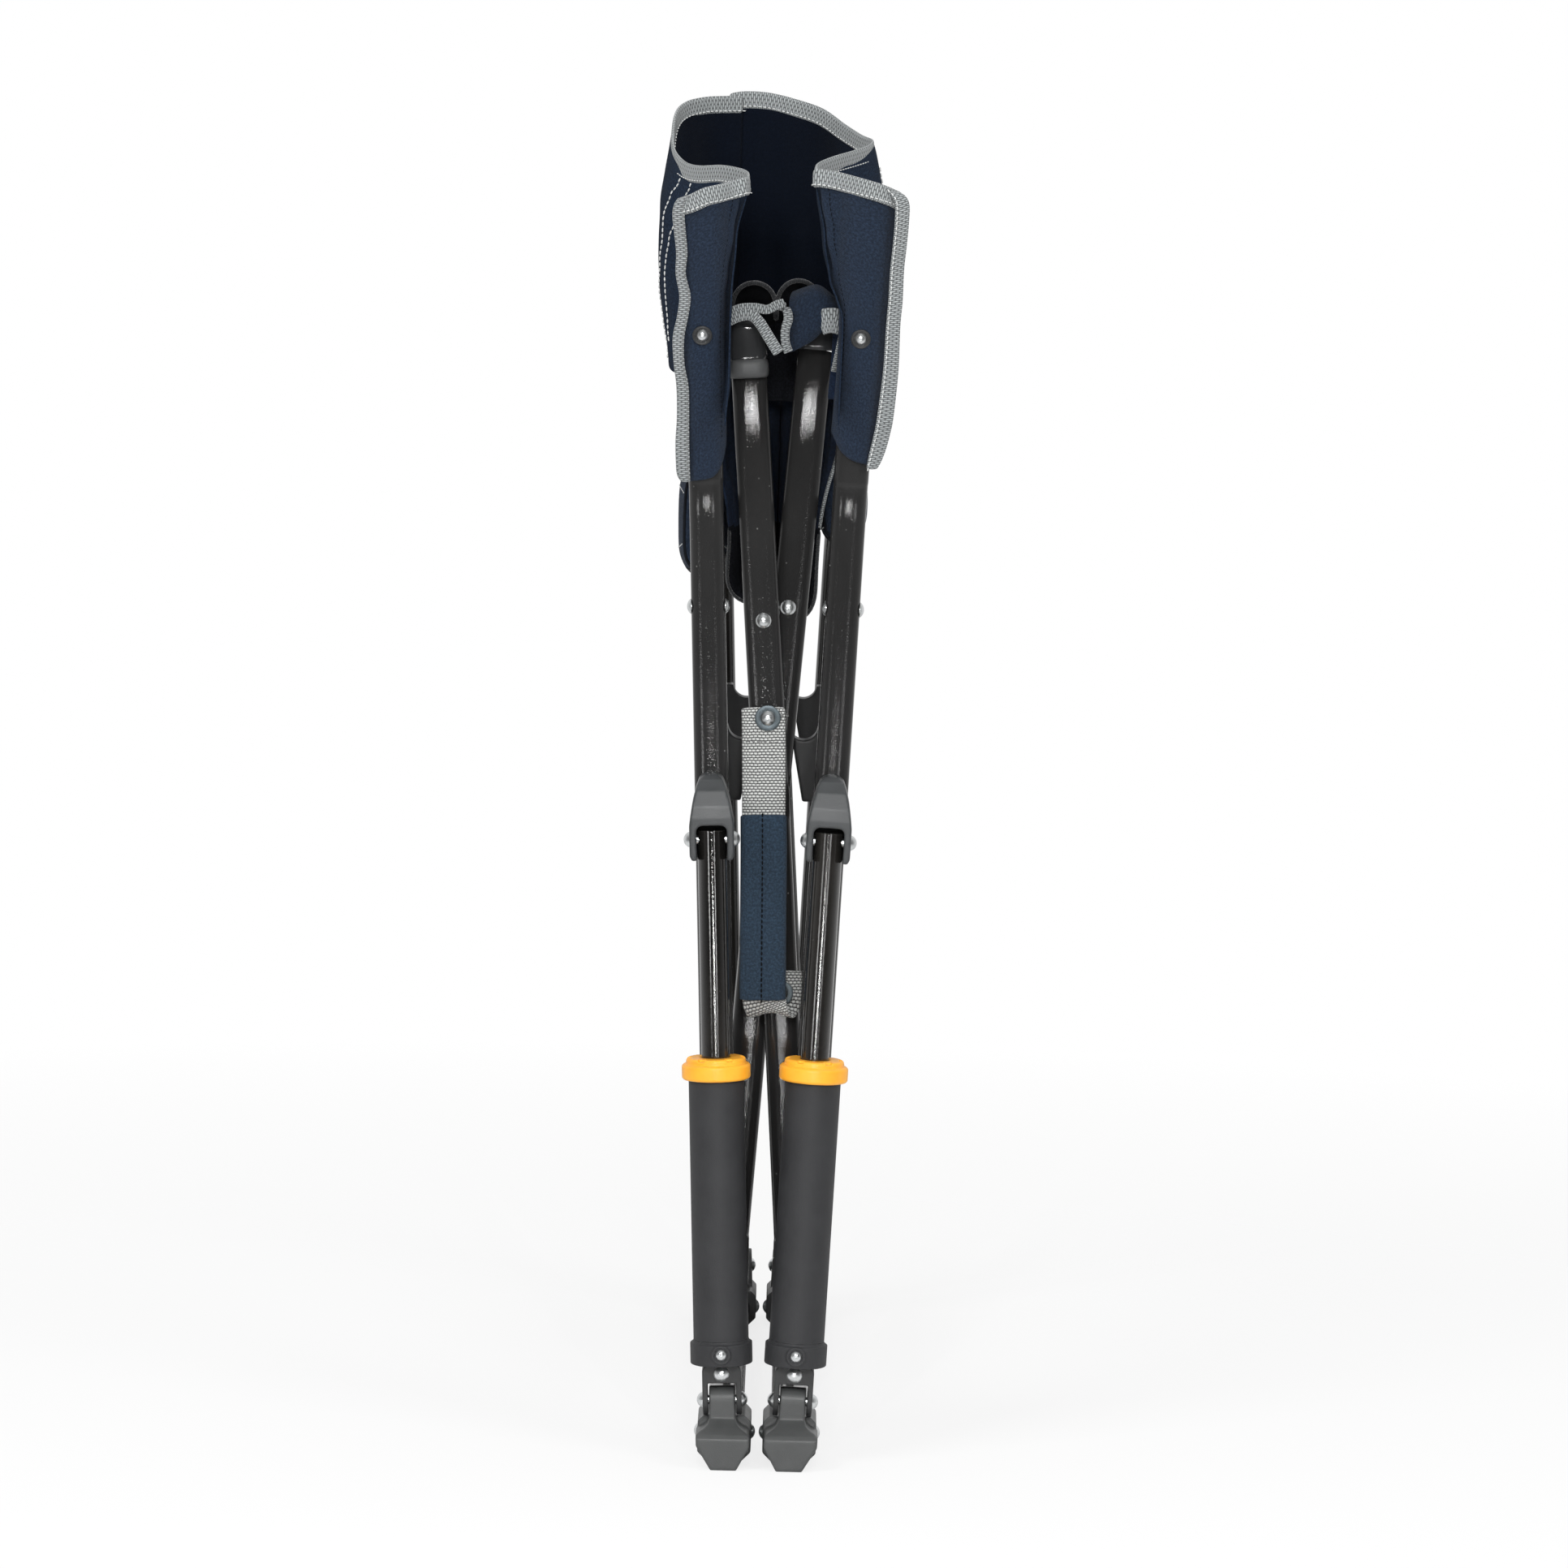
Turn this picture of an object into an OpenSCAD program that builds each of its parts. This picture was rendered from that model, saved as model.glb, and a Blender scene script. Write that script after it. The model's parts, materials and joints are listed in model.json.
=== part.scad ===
// Folding rocking camp chair, standing folded on its two base rails.
// +X is the chair's right, +Y its front, +Z up. The origin is on the floor, under
// the middle of the folded chair. Each side unit lies in a plane that leans outwards.

/* [Stance] */
// Distance from the centre plane to each side frame, at the floor
foot_x = 21; // [19.5:0.5:24]
// Outward lean of each side frame in degrees
splay = 2.3; // [2.2:0.1:3]
// Distance from the back post to the front leg
leg_y = 500; // [480:5:540]
// Height of the front rocking pivot
rock_z = 40; // [38:1:44]

/* [Side frame] */
// Width of the frame tube, across the chair
tube_w = 22; // [20:0.5:22.5]
// Thickness of the frame tube
tube_t = 15; // [13:0.5:16]
// Wall of the frame tubes
tube_wall = 1.5; // [1:0.1:2]
// Height of the bottom end of the back post
post_z = 97; // [94:1:100]
// Height at which the back post starts to lean back
recline_z = 605; // [590:5:612]
// Angle of the reclined upper post
recline = 13; // [8:0.5:15]
// Radius of the bend in the back post
recline_r = 120; // [80:5:150]
// Length of the reclined part of the back post
upper_l = 180; // [160:5:190]
// Height of the arm tube
arm_z = 612; // [606:1:620]
// Radius of the bend between the arm and the front leg
arm_r = 75; // [50:5:90]
// Height of the lower side rail
rail_low_z = 108; // [106:1:110]
// Height of the bar that carries the seat saddles
seat_bar_z = 425; // [415:1:428]

// Height of the cross bolt through the back post
post_bolt_z = 551; // [530:1:570]

/* [Seat frame] */
// Distance of the cross bars' lower pivots and the seat rails from the centre plane
cross_x = 20; // [19:0.5:20.5]
// Height of the lower pivots of the cross bars
cross_low_z = 135; // [134:1:138]
// Height of the seat rails when folded
seat_rail_z = 724; // [716:1:728]
// Angle through which each cross bar turns to open the chair
open_angle = 51.5; // [48:0.5:52]
// Width of the cross bars
bar_w = 23; // [20:0.5:23.5]
// Thickness of the cross bars
bar_t = 12; // [10:0.5:13]
// Wall of the cross bars and the seat rails
bar_wall = 1.3; // [1:0.1:1.8]
// Gap between the back post and the rear cross bar
bar_gap = 3.5; // [3:0.5:5]
// Gap between the two layers of cross bars
layer_gap = 1; // [0.6:0.1:2]
// Distance from the back post to the middle of the seat
seat_mid_y = 240; // [230:5:242]
// Width of the seat rails
rail_w = 12; // [10:0.5:12]
// Height of the seat rail section
rail_h = 18; // [14:0.5:18]
// Width of the corner caps
cap_w = 24; // [23.8:0.1:24.5]
// Length of the cross bar beyond its lower pivot
bar_tail = 11.5; // [10:0.5:12]

/* [Rocking pistons] */
// Distance of the piston axis behind the back post's axis
piston_y = 33; // [32.5:0.5:38]
// Height of the lower piston pivot
knuckle_z = 42; // [41:0.5:44]
// Height of the upper piston pivot
eye_z = 404; // [398:1:408]
// Distance from the lower pivot to the bottom cap
clevis_l = 24; // [22:1:28]
// Diameter of the bottom cap
cap_d = 40; // [38:0.5:41]
// Height of the bottom cap
cap_h = 16; // [13:1:18]
// Outer diameter of the cylinder
barrel_d = 35.5; // [34:0.5:37]
// Wall of the cylinder
barrel_wall = 2; // [1.5:0.1:3]
// Length of the cylinder
barrel_l = 168; // [160:1:172]
// Diameter of the collar
collar_d = 44; // [42:0.5:44]
// Height of the collar
collar_h = 14; // [11:0.5:15]
// Diameter of the piston rod
rod_d = 18.5; // [16:0.5:18.5]
// Distance between the lower pivot and the bottom of the rod
rod_low = 150; // [130:1:155]
// Diameter of the spring wire
spring_wire = 3; // [2:0.2:3.4]
// Number of turns of the spring
spring_turns = 9; // [6:1:10]

/* [Feet] */
// Width of the rear foot
foot_w = 34.5; // [33:0.5:36]
// Height of the rear foot
foot_h = 31; // [29:0.5:31]
// Width of the knuckle on the rear foot
knuckle_w = 16.5; // [14:0.5:16.5]
// Width of the base rail
base_w = 24; // [22:0.5:26]
// Height of the base rail section
base_h = 19; // [16:0.5:20]
// Height of the base rail's axis
base_z = 14.5; // [13:0.5:15]
// Height of the front foot below its ears
front_foot_h = 27; // [26:0.5:28]

/* [Fabric] */
// Length of the armrest pads
pad_l = 352; // [300:1:360]
// Width of the armrest pads
pad_w = 31.5; // [29:0.5:31.5]
// Height of the armrest pad section
pad_h = 56; // [40:1:56]
// Drop of the pads' centre below the arm's axis
pad_drop = 6; // [0:0.5:8]
// Width of the sleeve on the back post
sleeve_w = 31; // [29:0.5:33]
// Depth of the sleeve on the back post
sleeve_t = 24; // [22:0.5:26]
// Thickness of the folded fabric walls
cloth_t = 3; // [2:0.5:4]
// Depth of the folded seat sling below its rails
sling_h = 150; // [120:5:160]
// Height of the lower edge of the folded back panels
panel_z = 748; // [745:1:752]
// Height of the folded back panels
panel_h = 130; // [100:5:135]
// Distance of the outermost fold of the back panels from the centre plane
panel_x = 75; // [68:1:78]
// Width of the carry strap
strap_w = 28.5; // [24:0.5:29]

/* [Fasteners] */
// Diameter of the hinge bolts
bolt_d = 6; // [5:0.5:7]
// Diameter of the bolt and rivet heads
head_d = 10; // [8:0.5:11]
// Height of the bolt and rivet heads
head_h = 2.6; // [2:0.2:3]
// Diameter of the washers
washer_d = 16.5; // [14:0.5:18]
// Diameter of the screw heads in the sleeves and caps
screw_d = 7.6; // [6:0.2:9]
// Height of the nuts on the piston's pivots
nut_h = 3.8; // [3:0.2:4]

/* [Hidden] */
$fn = 64;

// Clearances: a running pin, a seated plastic part, a soft part and a free gap
pin_gap = 0.05;
seat_gap = 0.1;
soft_gap = 0.3;
free_gap = 1;

// Folded cross bars: half length between pivots, tilt and height of the centre pivot
cross_rise = (seat_rail_z - cross_low_z) / 2;
bar_half = sqrt(cross_x * cross_x + cross_rise * cross_rise);
cross_tilt = atan(cross_x / cross_rise);
cross_z = (seat_rail_z + cross_low_z) / 2;
open_z = cross_low_z + 2 * bar_half * cos(cross_tilt + open_angle);

// Layers of the bars: axis of the outer bar (a) and of the inner bar (b), at the rear
bar_y = [tube_t / 2 + bar_gap + bar_t / 2, tube_t / 2 + bar_gap + bar_t * 1.5 + layer_gap];
cap_skin = 1.5;
cap_depth = 12;
cap_round = 10;
cap_top = 13;
cap_low = 27;
lip_h = 14;
grip_y = bar_y[1] + bar_t / 2 + cap_depth + 4;
grip_l = 20;
sling_y = grip_y + grip_l + 4;

// Reclined upper post: shift back and rise of the bend
bend_back = recline_r * (1 - cos(recline));
bend_rise = recline_r * sin(recline);
swage = 0.2;
swage_l = 4;
sleeve_start = 8;
sleeve_top = 6;
sleeve_screw = 98;
sleeve_mid = recline_z + bend_rise + upper_l * 0.78;
fold_in = 22;
fold_front = 60;
fold_y = [55, 105, 150, 165];
screw_h = 2;

// Carry strap on the rear bar a: heights along the bar above the centre pivot
rivet_z = [112, 120];
strap_top = 62;
strap_low = -138;
wrap_top = -6;
wrap_low = -120;
web_t = 2;
strap_rivets = [strap_top - 12.5, strap_low + 9];
strap_lift = head_h + 2 * soft_gap;
strap_face = bar_y[0] - bar_t / 2 - strap_lift;

// Piston, as heights in the plane of its side
cap_z = knuckle_z + clevis_l;
barrel_z = cap_z + cap_h;
collar_z = barrel_z + barrel_l;
rod_top = eye_z + 6;
rod_end_z = knuckle_z + rod_low;
head_l = 12;
boss_h = 4;
cap_boss = 0.6;
boss_d = 12.4;
boss_sink = 1.2;
clevis_round = 4.5;
clevis_web = 12;
clevis_t = 3.4;
clevis_gap = 0.9;
clevis_r = knuckle_z - foot_h - free_gap;
arm_t = 4.5;
arm_gap = 0.5;
eye_play = 1.2;
bracket_w = rod_d + 2 * (arm_gap + arm_t);
bracket_low = 13;
bracket_arch = 9.5;
bracket_back = 11;
bracket_top = 41;

// Feet
foot_back = 24;
foot_front = 24;
foot_wall = 4;
nose_l = 30;
nose_base = 16.6;
knuckle_r = 9;
rail_start = -piston_y + foot_back - 6;
front_ear_t = 3.6;
ear_gap = 0.7;
front_foot_l = 56;
front_foot_back = 34;
toe = front_foot_l - front_foot_back;

// Origin: the folded chair's reach behind and ahead of the back post
sleeve_reach = bend_back + (upper_l + sleeve_top) * sin(recline)
    + sleeve_t / 2 * cos(recline);
rear_reach = max(sleeve_reach, piston_y + foot_back);
front_reach = leg_y + toe;
post_y = (rear_reach - front_reach) / 2;

// ---------------------------------------------------------------- helpers

// Places children in the leaning plane of one side: side -1 is left, 1 is right
module on_side(side) {
    mirror([side < 0 ? 1 : 0, 0, 0]) translate([foot_x, post_y, 0]) rotate([0, splay, 0])
        children();
}

// Places children upright at one side's foot
module on_floor(side) {
    mirror([side < 0 ? 1 : 0, 0, 0]) translate([foot_x, post_y, 0]) children();
}

// Places children in the frame of a cross bar: -1 is bar a, 1 is bar b
module on_cross(lean) {
    translate([0, post_y, cross_z]) rotate([0, lean * cross_tilt, 0]) children();
}

// Turns a drawing of Y and Z, with its extrusion along X, into place
module in_yz() { rotate([90, 0, 90]) children(); }

// Turns a drawing of X and Z into place, extruded towards +Y from y = 0
module in_xz() { rotate([90, 0, 0]) mirror([0, 0, 1]) children(); }

// Outline with round ends, w along X and t along Y
module oval(w, t) {
    spread = abs(w - t) / 2;
    square(w > t ? [2 * spread, t] : [w, 2 * spread], center = true);
    for (s = [-1, 1]) translate(w > t ? [s * spread, 0] : [0, s * spread])
        circle(d = min(w, t));
}

// Wall of a tube with round ends
module oval_ring(w, t, wall) {
    difference() {
        oval(w, t);
        oval(w - 2 * wall, t - 2 * wall);
    }
}

// Rectangle with rounded corners
module rounded(w, h, r) {
    square([w - 2 * r, h], center = true);
    square([w, h - 2 * r], center = true);
    for (x = [-1, 1], y = [-1, 1]) translate([x * (w / 2 - r), y * (h / 2 - r)]) circle(r);
}

// Domed head standing on z = 0
// Upright rectangle with its two top corners rounded
module round_top(w, h, r) {
    for (x = [r - w / 2, w / 2 - r]) translate([x, h - r]) circle(r);
    translate([-w / 2, 0]) square([w, h - r]);
    translate([r - w / 2, 0]) square([w - 2 * r, h]);
}
module dome(d, h) {
    r = (d * d / 4 + h * h) / (2 * h);
    rotate_extrude() intersection() {
        translate([0, h - r]) circle(r);
        square([d, h]);
    }
}

// Rod along X, centred, with a domed head at each end of the grip
module bolt_x(d, grip, h = head_h) {
    rotate([0, 90, 0]) {
        cylinder(d = d, h = grip, center = true);
        for (s = [0, 1]) mirror([0, 0, s]) translate([0, 0, grip / 2]) dome(head_d, h);
    }
}

// Rod along +Y from y = 0, with a domed head at the far end and, if asked, at the near end
module bolt_y(d, grip, near_head = true) {
    rotate([-90, 0, 0]) {
        cylinder(d = d, h = grip);
        if (near_head) mirror([0, 0, 1]) dome(head_d, head_h);
        translate([0, 0, grip]) dome(head_d, head_h);
    }
}

// Domed rivet head that faces -Y, standing on y = 0
module head_back(d, h) { rotate([90, 0, 0]) dome(d, h); }

// Frame for the reclined part of the back post, z = 0 where it starts
module on_upper() {
    translate([0, -bend_back, recline_z + bend_rise]) rotate([recline, 0, 0]) children();
}

// ---------------------------------------------------------------- base

module base_rail(side) {
    color("#26262a") on_floor(side) translate([0, rail_start, base_z]) rotate([-90, 0, 0])
        linear_extrude(leg_y + toe - foot_wall - rail_start)
            oval_ring(base_w, base_h, tube_wall);
}

// Socket in a foot for the end of the base rail
module rail_socket(l) {
    translate([0, 0, base_z]) rotate([-90, 0, 0]) linear_extrude(l)
        oval(base_w + 2 * seat_gap, base_h + 2 * seat_gap);
}

module foot_outline(w, h) {
    chamfer = 7;
    polygon([[-w / 2 + chamfer, 0], [w / 2 - chamfer, 0], [w / 2, chamfer], [w / 2, h - 4],
        [w / 2 - 4, h], [-w / 2 + 4, h], [-w / 2, h - 4], [-w / 2, chamfer]]);
}

// Outline of the foot's rear nose: narrow at the floor, widest at half height, then a swept
// shoulder up to the knuckle's neck
module nose_outline() {
    half = foot_w / 2;
    neck = knuckle_w / 2;
    edge = [[nose_base / 2, 0], [half, foot_h / 2], [half, foot_h - 9], [half - 2, foot_h - 7],
        [neck + 4, foot_h - 5.4], [neck + 1.4, foot_h - 3.4], [neck, foot_h]];
    last = len(edge) - 1;
    polygon(concat([for (p = edge) [p[0] + p[1] * tan(splay), p[1]]],
        [for (i = [0 : last]) [edge[last - i][1] * tan(splay) - edge[last - i][0],
            edge[last - i][1]]]));
}
module rear_foot(side) {
    start = -piston_y - foot_back;
    body_start = start + nose_l - 4;
    color("#343437") difference() {
        union() {
            on_floor(side) intersection() {
                translate([0, start, 0]) in_xz() linear_extrude(nose_l) nose_outline();
                in_yz() linear_extrude(2 * foot_w, center = true) polygon([
                    [start, 0], [start, foot_h - 11], [start + 2, foot_h - 8.5],
                    [-piston_y - knuckle_r, foot_h], [start + nose_l, foot_h],
                    [start + nose_l, 0]]);
            }
            on_floor(side) translate([0, body_start, 0]) in_xz()
                linear_extrude(start + foot_back * 2 + foot_front - body_start)
                    foot_outline(foot_w, foot_h);
            on_side(side) in_yz() linear_extrude(knuckle_w, center = true) {
                translate([-piston_y, knuckle_z]) circle(knuckle_r);
                translate([-piston_y - knuckle_r, foot_h - 4])
                    square([2 * knuckle_r, knuckle_z - foot_h + 4]);
            }
        }
        on_floor(side) translate([0, rail_start - seat_gap, 0]) rail_socket(leg_y);
        on_side(side) translate([0, -piston_y, knuckle_z]) rotate([0, 90, 0])
            cylinder(d = bolt_d + 2 * pin_gap, h = foot_w, center = true);
    }
}

module front_foot(side) {
    ear_x = tube_w / 2 + ear_gap;
    ear_r = 12;
    color("#343437") difference() {
        union() {
            on_floor(side) translate([0, leg_y - front_foot_back, 0]) in_xz()
                linear_extrude(front_foot_l) foot_outline(foot_w, front_foot_h);
            on_side(side) for (s = [0, 1]) mirror([s, 0, 0]) translate([ear_x, 0, 0]) in_yz()
                linear_extrude(front_ear_t) {
                    translate([leg_y, rock_z]) circle(ear_r);
                    translate([leg_y - ear_r, front_foot_h - 5])
                        square([2 * ear_r, rock_z - front_foot_h + 5]);
                }
        }
        on_floor(side) translate([0, leg_y - front_foot_back - free_gap, 0])
            rail_socket(front_foot_l - foot_wall + free_gap + seat_gap);
        on_side(side) translate([0, leg_y, rock_z]) rotate([0, 90, 0])
            cylinder(d = bolt_d + 2 * pin_gap, h = 2 * foot_w, center = true);
    }
}

module foot_screws(side) {
    screw_y = [foot_front - piston_y + 12, leg_y - front_foot_back + 9];
    color("#8f8f92") on_floor(side) for (y = screw_y, s = [0, 1]) mirror([s, 0, 0])
        translate([foot_w / 2, y, base_z]) rotate([0, 90, 0]) dome(head_d, head_h);
}

// ---------------------------------------------------------------- side frame

// Bent lower tube, whose end is welded into the slightly larger upper tube
module back_post(side) {
    color("#1f1f21") on_side(side) difference() {
        union() {
            translate([0, 0, post_z]) linear_extrude(recline_z - post_z)
                oval_ring(tube_w, tube_t, tube_wall);
            in_yz() translate([-recline_r, recline_z, 0]) rotate_extrude(angle = recline)
                translate([recline_r, 0]) oval_ring(tube_t, tube_w, tube_wall);
            on_upper() translate([0, 0, -swage_l]) linear_extrude(upper_l + swage_l)
                oval_ring(tube_w + 2 * swage, tube_t + 2 * swage, tube_wall + 2.5 * swage);
        }
        translate([0, 0, post_bolt_z]) rotate([0, 90, 0])
            cylinder(d = bolt_d + 2 * pin_gap, h = 2 * tube_w, center = true);
    }
}

module arm_tube(side) {
    color("#1f1f21") on_side(side) difference() {
        union() {
            translate([0, tube_t / 2, arm_z]) rotate([-90, 0, 0])
                linear_extrude(leg_y - arm_r - tube_t / 2) oval_ring(tube_w, tube_t, tube_wall);
            in_yz() translate([leg_y - arm_r, arm_z - arm_r, 0]) rotate_extrude(angle = 90)
                translate([arm_r, 0]) oval_ring(tube_t, tube_w, tube_wall);
            translate([0, leg_y, rock_z - tube_t / 2]) linear_extrude(
                arm_z - arm_r - rock_z + tube_t / 2) oval_ring(tube_w, tube_t, tube_wall);
        }
        translate([0, leg_y, rock_z]) rotate([0, 90, 0])
            cylinder(d = bolt_d + 2 * pin_gap, h = 2 * tube_w, center = true);
    }
}

// Tube that runs level from the back post to the front leg, standing on edge
module level_tube(side, z) {
    color("#1f1f21") on_side(side) translate([0, tube_t / 2, z]) rotate([-90, 0, 0])
        linear_extrude(leg_y - tube_t) oval_ring(tube_t, tube_w, tube_wall);
}

module side_rail(side) { level_tube(side, rail_low_z); }

module seat_bar(side) { level_tube(side, seat_bar_z); }

// Y of the middle of the bar that a side's lug holds: bar b at the left, bar a at the right
function lug_y(side, front) =
    let (y = bar_y[side < 0 ? 1 : 0]) front ? 2 * seat_mid_y - y : y;

lug_t = 3;
lug_gap = 0.4;

module cross_lugs(side) {
    lug_w = 24;
    lug_l = bar_t + 2 * (lug_gap + lug_t);
    web_top = cross_low_z - bar_tail - free_gap - 0.5;
    room = 100;
    color("#2b2b2e") for (front = [false, true]) difference() {
        translate([side * cross_x, post_y + lug_y(side, front) - lug_l / 2, 0]) in_xz()
            linear_extrude(lug_l) {
                translate([0, cross_low_z]) circle(d = lug_w);
                translate([-lug_w / 2, rail_low_z]) square([lug_w, cross_low_z - rail_low_z]);
            }
        translate([side * cross_x, post_y + lug_y(side, front), web_top + room / 2])
            cube([2 * lug_w, bar_t + 2 * lug_gap, room], center = true);
        on_side(side) translate([0, 0, rail_low_z]) rotate([-90, 0, 0])
            linear_extrude(leg_y) oval(tube_t + 2 * seat_gap, tube_w + 2 * seat_gap);
        translate([side * cross_x, post_y + lug_y(side, front), cross_low_z]) rotate([90, 0, 0])
            cylinder(d = bolt_d + 2 * pin_gap, h = 2 * lug_l, center = true);
    }
}

module seat_saddles(side) {
    groove_r = rail_h / 2 + soft_gap;
    saddle_t = 5;
    inner_x = cross_x - groove_r * 0.7;
    saddle_z = seat_bar_z + 2;
    outer_x = foot_x + seat_bar_z * tan(splay) + tube_t / 2 + 3;
    color("#2d2d30") for (y = [grip_y, 2 * seat_mid_y - grip_y - grip_l]) difference() {
        translate([0, post_y + y, 0]) mirror([side < 0 ? 1 : 0, 0, 0]) in_xz()
            linear_extrude(grip_l) polygon([
                [inner_x, open_z - groove_r - saddle_t], [cross_x, saddle_z - 6],
                [outer_x, saddle_z - 6], [outer_x, open_z - groove_r],
                [cross_x + groove_r + saddle_t, open_z], [cross_x, open_z],
                [inner_x, open_z - groove_r * 0.5]]);
        translate([side * cross_x, post_y + y - free_gap, open_z]) rotate([-90, 0, 0])
            cylinder(r = groove_r, h = grip_l + 2 * free_gap);
        on_side(side) translate([0, 0, seat_bar_z]) rotate([-90, 0, 0])
            linear_extrude(leg_y) oval(tube_t + 2 * seat_gap, tube_w + 2 * seat_gap);
    }
}

module arm_pad(side) {
    pad_start = sling_y - 24;
    color("#1d2a40") on_side(side) translate([0, pad_start, arm_z]) rotate([-90, 0, 0])
        linear_extrude(pad_l) difference() {
            translate([0, pad_drop]) rounded(pad_w, pad_h, 14);
            oval(tube_w + 2 * soft_gap, tube_t + 2 * soft_gap);
        }
}

// Outline of the bracket from behind: rounded apex, shoulders and two arms
module bracket_outline() {
    half = bracket_w / 2;
    edge = [[half - 1.5, -bracket_low], [half, 3 - bracket_low], [half, bracket_arch],
        [half - 0.9, bracket_top - 25], [half - 2.4, bracket_top - 16.5],
        [half - 4.7, bracket_top - 8], [half - 6.8, bracket_top - 2.4],
        [half - 10.6, bracket_top]];
    last = len(edge) - 1;
    translate([0, eye_z]) polygon(concat(edge,
        [for (i = [0 : last]) [-edge[last - i][0], edge[last - i][1]]]));
}
module piston_bracket(side) {
    start = -piston_y - bracket_back;
    depth = -start - tube_t / 2 - seat_gap;
    opening = rod_d + 2 * arm_gap;
    corner = 4;
    color("#3b3c3e") on_side(side) difference() {
        intersection() {
            translate([0, start, 0]) in_xz() linear_extrude(depth) bracket_outline();
            translate([0, start, eye_z]) in_yz() linear_extrude(2 * bracket_w, center = true)
                polygon([[1, -bracket_low], [0, 1 - bracket_low], [0, bracket_arch + 4],
                    [1.4, bracket_arch + 12], [5, bracket_top - 9], [10, bracket_top - 3],
                    [16, bracket_top], [depth, bracket_top], [depth, -bracket_low]]);
        }
        intersection() {
            translate([0, -piston_y, eye_z - bracket_low - 1])
                linear_extrude(bracket_low + bracket_arch + 1) {
                    circle(d = opening);
                    translate([-opening / 2, -20]) square([opening, 34]);
                }
            translate([0, start - 1, 0]) in_xz() linear_extrude(depth)
                round_top(opening, eye_z + bracket_arch, corner);
        }
        translate([0, -piston_y, eye_z]) rotate([0, 90, 0])
            cylinder(d = bolt_d, h = 2 * bracket_w, center = true);
    }
}

module back_sleeve(side) {
    sleeve_l = upper_l + sleeve_top - sleeve_start;
    color("#1d2a40") on_side(side) on_upper() difference() {
        translate([0, 0, sleeve_start]) linear_extrude(sleeve_l)
            rounded(sleeve_w, sleeve_t, 7);
        linear_extrude(upper_l + soft_gap)
            oval(tube_w + 2 * (swage + soft_gap), tube_t + 2 * (swage + soft_gap));
    }
}

module side_bolts(side) {
    lug_grip = bar_t + 2 * (lug_gap + lug_t);
    color("#9a9a9c") {
        on_side(side) {
            translate([0, leg_y, rock_z])
                bolt_x(bolt_d, tube_w + 2 * (ear_gap + front_ear_t) + 0.4);
            translate([0, 0, post_bolt_z]) bolt_x(bolt_d, tube_w + 0.2);
            translate([0, -piston_y, eye_z]) bolt_x(bolt_d, bracket_w, nut_h);
            on_upper() translate([0, -sleeve_t / 2 - soft_gap, sleeve_screw])
                head_back(screw_d, screw_h);
        }
        for (front = [false, true])
            translate([side * cross_x, post_y + lug_y(side, front) - lug_grip / 2, cross_low_z])
                bolt_y(bolt_d, lug_grip, front);
    }
}

// ---------------------------------------------------------------- pistons

module clevis(side) {
    inner = knuckle_w / 2 + clevis_gap;
    outer = inner + clevis_t;
    color("#28282a") on_side(side) difference() {
        intersection() {
            in_yz() linear_extrude(2 * outer, center = true) {
                translate([-piston_y, knuckle_z]) circle(clevis_r);
                translate([-piston_y - clevis_r, knuckle_z]) square([2 * clevis_r, clevis_l]);
            }
            translate([0, -2 * piston_y, 0]) in_xz() linear_extrude(2 * piston_y)
                round_top(2 * outer, cap_z, clevis_round);
        }
        translate([0, -piston_y, cap_z - clevis_web - 50])
            cube([2 * inner, 60, 100], center = true);
        translate([0, -piston_y, knuckle_z]) rotate([0, 90, 0])
            cylinder(d = bolt_d, h = 2 * foot_w, center = true);
    }
}

module bottom_cap(side) {
    color("#333336") on_side(side) translate([0, -piston_y, cap_z]) difference() {
        union() {
            rotate_extrude() {
                square([cap_d / 2, cap_h - 2]);
                square([cap_d / 2 - 2, cap_h]);
                square([barrel_d / 2 - barrel_wall - seat_gap, cap_h + boss_h]);
            }
            translate([0, -cap_d / 2 - cap_boss, cap_h / 2]) rotate([-90, 0, 0])
                cylinder(d = boss_d, h = cap_d / 4);
        }
        translate([0, -cap_d / 2 - cap_boss - 1, cap_h / 2]) rotate([-90, 0, 0])
            cylinder(d = screw_d + 1.4, h = boss_sink + 1);
    }
}

module cylinder_body(side) {
    color("#3a3a3c") on_side(side) translate([0, -piston_y, barrel_z]) difference() {
        cylinder(d = barrel_d, h = barrel_l);
        translate([0, 0, -1]) cylinder(d = barrel_d - 2 * barrel_wall, h = barrel_l + 2);
    }
}

module collar(side) {
    skirt = 5;
    edge = 1.2;
    ring_h = collar_h - 4;
    ring_r = collar_d / 2;
    step_r = ring_r - 2.8;
    skirt_r = barrel_d / 2 - barrel_wall - seat_gap;
    slots = 6;
    color("#f5b335") on_side(side) translate([0, -piston_y, collar_z]) difference() {
        rotate_extrude() polygon([[0, -skirt], [skirt_r, -skirt], [skirt_r, 0],
            [ring_r - edge, 0], [ring_r, edge], [ring_r, ring_h - edge], [ring_r - edge, ring_h],
            [step_r, ring_h], [step_r, collar_h - edge], [step_r - edge, collar_h],
            [0, collar_h]]);
        translate([0, 0, -skirt - 1])
            cylinder(d = rod_d + 2 * pin_gap, h = skirt + collar_h + 2);
        for (i = [0 : slots - 1]) rotate(i * 360 / slots)
            translate([step_r, 0, collar_h]) cube([7, 5, 3], center = true);
    }
}

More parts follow.
